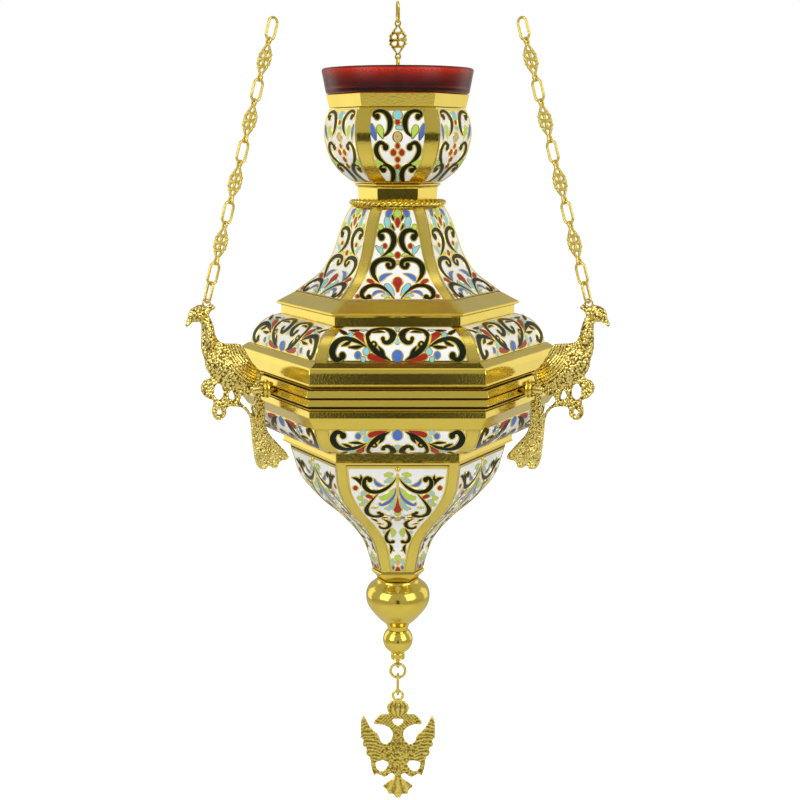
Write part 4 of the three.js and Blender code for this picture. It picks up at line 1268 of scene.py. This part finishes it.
def granules(spot, size):
    near, _ = noise.voronoi(spot / size)
    return 1.25 - 1.6 * near[0]


def ridges(phase):
    return 0.5 + 0.5 * math.sin(phase)


# birds

birdSettings = {  # the outlines are (out from the girdle's face, up from its pin)
    "face": girdleEdge * flat, "thickness": 3.4, "reach": 109.3, "rise": 46, "voxel": 0.3, "depth": 0.4,
    "pin": (2.3, 5.8, 9.2),  # radius, reach in from the face, reach out from it
    "wing": {"root": (0, 28), "front": 22, "from": 12, "to": 27, "barb": 1.5}, "tailTop": -14, "grain": 1.1,
    "lumps": [  # out, up, long, short, thick, turn
        (20.2, 11.5, 15.3, 8.8, 4.5, 28), (31.8, 29.5, 10.8, 3.6, 2.9, 84),
        (37.2, 40.4, 4.7, 3.7, 2.9, -20), (3.4, -33.6, 6.6, 5.4, 2.5, 90),
    ],
    "curlHole": (27.1, -9.6, 1.2), "eye": (1.4, 2.45, 1.6),
}
birdHead = [
    (30.3, 44.9), (30.8, 44.5), (31.6, 44.1), (33.3, 44.1), (34.2, 44.6), (34.9, 45.4),
    (38.2, 44.9), (41.4, 42.8), (42.7, 39), (43.9, 35.4), (42.6, 34.7), (40.2, 36.6),
]
birdBreast = [(37.2, 36.8), (35.5, 34.6), (35.9, 26.6), (35.4, 20.6), (31.6, 9.2)]
birdThigh = [(34.6, 7.4), (36.8, 4.4), (36.2, 0.8), (33.6, -2), (30.2, -3.9)]
birdCurl = [(31.1, -7.2), (31.2, -10.6), (29, -13.6), (25.8, -13.7), (23.6, -11.4), (22.8, -8)]
birdBar = [(18.1, -7.9), (14.4, -9.2), (11.6, -12.4), (10.2, -17)]
birdTail = [
    (9.5, -27), (7.6, -38.4), (5.2, -42), (2.2, -42.2), (0.8, -40.6), (-1.8, -42.3), (-4.6, -42),
    (-5.7, -39.2), (-9, -38.8), (-10.8, -36.2), (-2.6, -26.6), (0.6, -22), (2.1, -16.4), (2.2, -6.4),
]
birdRump = [(4, -4.6), (4, 5.2), (2.2, 8)]
birdBack = [(6.2, 11.8), (9.4, 15.8), (12.4, 21.2), (15.2, 24.4), (24.2, 25.6), (28, 29.4), (29.8, 35.6)]
birdCrest = [(31.2, 40.6), (27.8, 43.1), (29.2, 45.2)]
birdHoles = [
    [(27.4, 4.8), (29.4, 3), (29.5, -0.4), (27.8, -2.9), (25.8, -2.6), (24.8, 0), (25.5, 3.2)],
    [(20.2, 0.8), (21.8, -1.6), (20.8, -3.4), (18.8, -3.3)],
    [(8.5, -1.4), (11.8, -3.2), (14.2, -2.2), (15.6, -5), (11.8, -8.9), (9.6, -12), (8.5, -8.6)],
]


def birdRelief(spot):
    x, z, wing = spot.x - birdSettings["face"], spot.z, birdSettings["wing"]
    reach = math.dist((x, z), wing["root"])
    grain = granules(spot, birdSettings["grain"])
    if z < birdSettings["tailTop"]:  # tail: rows of little scrolls
        swirl = noise.noise(Vector((x, z, 3)) * 0.45) * 5
        return max(grain, 0.5 + 0.6 * math.sin(swirl * math.pi))
    wander = 0.8 * noise.noise(Vector((x, z, 7)) * 0.3)
    barbs = 0.5 + 0.55 * math.sin(reach * 2 * math.pi / wing["barb"] + wander)
    inWing = x < wing["front"] and z > 0 and wing["from"] < reach < wing["to"]
    return 0.4 * grain + 0.7 * barbs if inWing else grain


def makeBirds():
    size = birdSettings
    face = size["face"]
    outline = birdHead + birdBreast + birdThigh + birdCurl + birdBar
    outline += birdTail + birdRump + birdBack + birdCrest
    loops = [roundedLoop([(x + face, z) for x, z in loop]) for loop in [outline] + birdHoles]
    x, z, radius = size["curlHole"]
    loops.append(circle(face + x, z, radius))
    rough = pierced(loops, size["thickness"], 0.9, 0.1)
    for x, *rest in size["lumps"]:
        addLump(rough, face + x, *rest)
    addEye(rough, size["reach"], size["rise"], *size["eye"])
    shaped = remeshed(rough, size["voxel"])
    carve(shaped, birdRelief, size["depth"])
    radius, inside, outside = size["pin"]
    outline = [(nearAxis, face - inside), (radius, face - inside)]
    outline += [(radius, face + outside), (nearAxis, face + outside)]
    pin = spun(outline, 32)
    turnBy(pin, 90, "Y")
    carve(pin, lambda spot: 0.8, 0)  # gives the pin the finish of a ridge and leaves its shape
    addTo(shaped, pin)
    for bird, angle in birdNames.items():
        bm = shaped.copy()
        turnBy(bm, angle, "Z")
        moveBy(bm, 0, 0, bracketLine)
        finish(bm, f"bird_{bird}_casting", [reliefGilt], [f"bird_{bird}"], smooth=60)
    shaped.free()


# eagle, hung from the centre of its eye

eagleSettings = {
    "thickness": 1.6, "eye": (1.95, 3.65), "eyeDrop": 3.7, "voxel": 0.26, "depth": 0.36, "lowest": 0.2,
    "lumps": [(0, -36, 11, 6, 1.55, 90), (0, -7.8, 5.2, 3.5, 1.3, 0)],
}
eagleCrown = [(2.2, -3.2), (5, -4.2), (6.5, -7.4), (5.6, -11.2)]
eagleHead = [(8.8, -11.2), (11.3, -12.6), (13.9, -16.2), (12.7, -17.8), (8.6, -17.9), (4.6, -20.2)]
eagleNeck = [(3.3, -23.4), (4.4, -27.4), (6.9, -29.4)]
eagleWing = [
    (9.6, -27.8), (10.8, -23.9), (15.2, -19.6), (17.6, -15), (19.3, -12.2), (21, -14.8), (21.3, -20.2),
    (21.2, -25.6), (19.9, -26.8), (20.2, -30.6), (18.2, -31.8), (18.3, -35.8), (16.2, -37.8),
]
eagleClaw = [(15.3, -44.2), (13.5, -49.2), (11.9, -47.7), (7.6, -49.9), (3.8, -47.4), (2.2, -49.8)]
eagleTail = [(8.8, -54.8), (6.6, -57.4), (5.6, -60.1), (2.8, -60.3), (1.2, -62.4)]
eagleHoles = [
    [(-3, -14.7), (3, -14.7), (0, -18.2)],
    [(12.6, -41), (8.3, -39.6), (5.7, -41.2), (6.8, -44), (8.9, -46), (11.4, -45)],
]


eagleZones = {"eye": -4, "crown": -11.6, "necks": -22, "wings": -40, "tail": -49}  # their heights
eagleFeathers = {"crownRib": 2.9, "tailRays": 15, "wingRow": 2.1, "neckRow": 2, "grain": 1.25}


def eagleRelief(spot):
    x, z, zones, feathers = abs(spot.x), spot.z, eagleZones, eagleFeathers
    grain = granules(spot, feathers["grain"])
    if z > zones["eye"]:
        return 0.75 + 0.25 * grain
    if z > zones["crown"] and x < 7:  # crown: ribs from its foot, over a band
        arch = x / math.sqrt(max(0.1, 1 - ((z + 7.6) / 4.8) ** 2))
        return 0.3 * grain + 0.75 * ridges(arch * 2 * math.pi / feathers["crownRib"] + math.pi / 2)
    if z < zones["tail"]:  # tail: feathers fanned from its root
        fan = math.atan2(x, -45 - z) * feathers["tailRays"]
        return 0.45 * grain + 0.6 * ridges(fan + math.pi / 2)
    if x > 9.5 and z > zones["wings"]:  # wings: feathers in rows that rise outwards
        rows = (z - 0.35 * x + 0.048 * (x - 12) ** 2) * 2 * math.pi / feathers["wingRow"]
        rows += 2.2 * noise.noise(Vector((x, z, 5)) * 0.5)
        return 0.5 * grain + 0.6 * ridges(rows)
    if z > zones["necks"]:  # necks: slanting rows
        return 0.45 * grain + 0.55 * ridges((x + z) * 2 * math.pi / feathers["neckRow"])
    return grain


def makeEagle():
    size = eagleSettings
    hang = heightOf("eagle")[1] - size["eyeDrop"]
    outline = mirroredHalf(eagleCrown + eagleHead + eagleNeck + eagleWing + eagleClaw + eagleTail)
    loops = [roundedLoop(outline, 3)] + [roundedLoop(hole, 3) for hole in eagleHoles]
    loops.append([(-x, z) for x, z in loops[-1]])
    rough = pierced(loops, size["thickness"], 0.5, 0.05)
    for lump in size["lumps"]:
        addLump(rough, *lump)
    addEye(rough, 0, 0, *size["eye"], size["thickness"])
    bm = remeshed(rough, size["voxel"])
    carve(bm, lambda spot: size["lowest"] + (1 - size["lowest"]) * eagleRelief(spot), size["depth"])
    moveBy(bm, 0, 0, hang)
    finish(bm, "eagle_casting", [eagleGilt], ["eagle"], "eagle_pendant", smooth=60)


# chains: links drawn taut along a leaning line that starts at a bird's eye

chainSettings = {
    "lean": 15.93, "wire": 1.1, "swell": 1.2, "weld": 0.12, "hole": 1.4, "slack": 0.6,
    "units": {"back": 5, "front": 4}, "twist": {"back": 12, "front_left": 14, "front_right": -14},
    "oval": (12, 6.4), "smallOval": (11.3, 5.4), "jumpRing": (5.1, 5.1),
}
filigreeSize = {"length": 22.6, "thickness": 1.1, "eye": 1.9, "hole": 1}


def filigreeLink():
    eyeAt, reach = filigreeSize["length"] / 2 - filigreeSize["eye"], filigreeSize["eye"]
    quarter = [
        (0.9, eyeAt + reach - 0.15), (reach, eyeAt + 0.6), (1.7, eyeAt - 1.1), (1.3, eyeAt - 2), (2.1, 6.4),
        (3.2, 4.9), (3.9, 4.3), (3.8, 3.5), (4.8, 2.9), (5.2, 2.1), (4.5, 1.4), (5.1, 0.8),
    ]
    outline = mirroredHalf(quarter + [(x, -z) for x, z in reversed(quarter)])
    petal = [(0.75, 0.85), (2.1, 0.95), (3.45, 1.75), (2.8, 2.5), (2, 3.35), (0.92, 2.5)]
    tip = [(0, 7.5), (0.7, 6.4), (1.6, 5), (0.7, 4.5), (-0.7, 4.5), (-1.6, 5), (-0.7, 6.4)]
    loops = [roundedLoop(outline, 2)]
    for end in (-1, 1):
        loops.append(roundedLoop([(x, z * end) for x, z in tip], 2))
        loops.append(circle(0, end * eyeAt, filigreeSize["hole"], 12))
        for side in (-1, 1):
            loops.append(roundedLoop([(x * side, z * end) for x, z in petal], 2))
    return pierced(loops, filigreeSize["thickness"], 0.3)


def makeChain(bird, angle):
    size = chainSettings
    kind = "back" if bird == "back" else "front"
    wireStep = size["wire"] - size["weld"]
    at = size["hole"] - size["wire"] / 2 - size["slack"]
    bm = bmesh.new()

    def place(link, height, across):
        if across:
            turnBy(link, 90, "Z")
        moveBy(link, 0, 0, height)
        addTo(bm, link)

    first, second = ("jumpRing", "jumpRing") if kind == "back" else ("smallOval", "oval")
    links = [(first, True), (second, False)] + [("filigree", True), ("oval", False)] * size["units"][kind]
    for link, across in links:
        if link == "filigree":
            reach = filigreeSize["length"] / 2 - filigreeSize["eye"] + filigreeSize["hole"]
            reach += size["weld"] - size["wire"] / 2
            at += wireStep
            place(filigreeLink(), at + reach, across)
            at += 2 * reach
        else:
            length, width = size[link]
            points = loopPoints(length, width, size["wire"])
            oval = wireAlong(points, size["wire"] / 2 * size["swell"], 2)
            place(oval, at + (length - size["wire"]) / 2, across)
            at += length - size["wire"] - wireStep
    turn = math.radians(angle)
    lean = Matrix.Rotation(turn, 4, "Z") @ Matrix.Rotation(-math.radians(size["lean"]), 4, "Y")
    lean = lean @ Matrix.Rotation(math.radians(size["twist"][bird]), 4, "Z")
    reach, height = birdSettings["reach"], bracketLine + birdSettings["rise"]
    eye = Vector((reach * math.cos(turn), reach * math.sin(turn), height))
    bmesh.ops.transform(bm, matrix=Matrix.Translation(eye) @ lean, verts=bm.verts)
    finish(bm, f"chain_{bird}_links", [satinGilt], [f"chain_{bird}"], smooth=50)


makeRope()
makePendant()
print("rope ring and pendant links made")
makeEagle()
print("eagle made")
makeBirds()
print("birds made")
for bird, angle in birdNames.items():
    makeChain(bird, angle)
print("chains made")


# carried-over nodes

for name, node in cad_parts.items():
    if node.hide_render:
        continue
    finishOf = redGlass if name == "glass_cup" else gilt
    if name.startswith(("bird", "eagle", "rope", "pendant")):
        finishOf = castGilt
    for slotOf in node.material_slots:
        slotOf.material = finishOf

print("carried-over nodes finished")
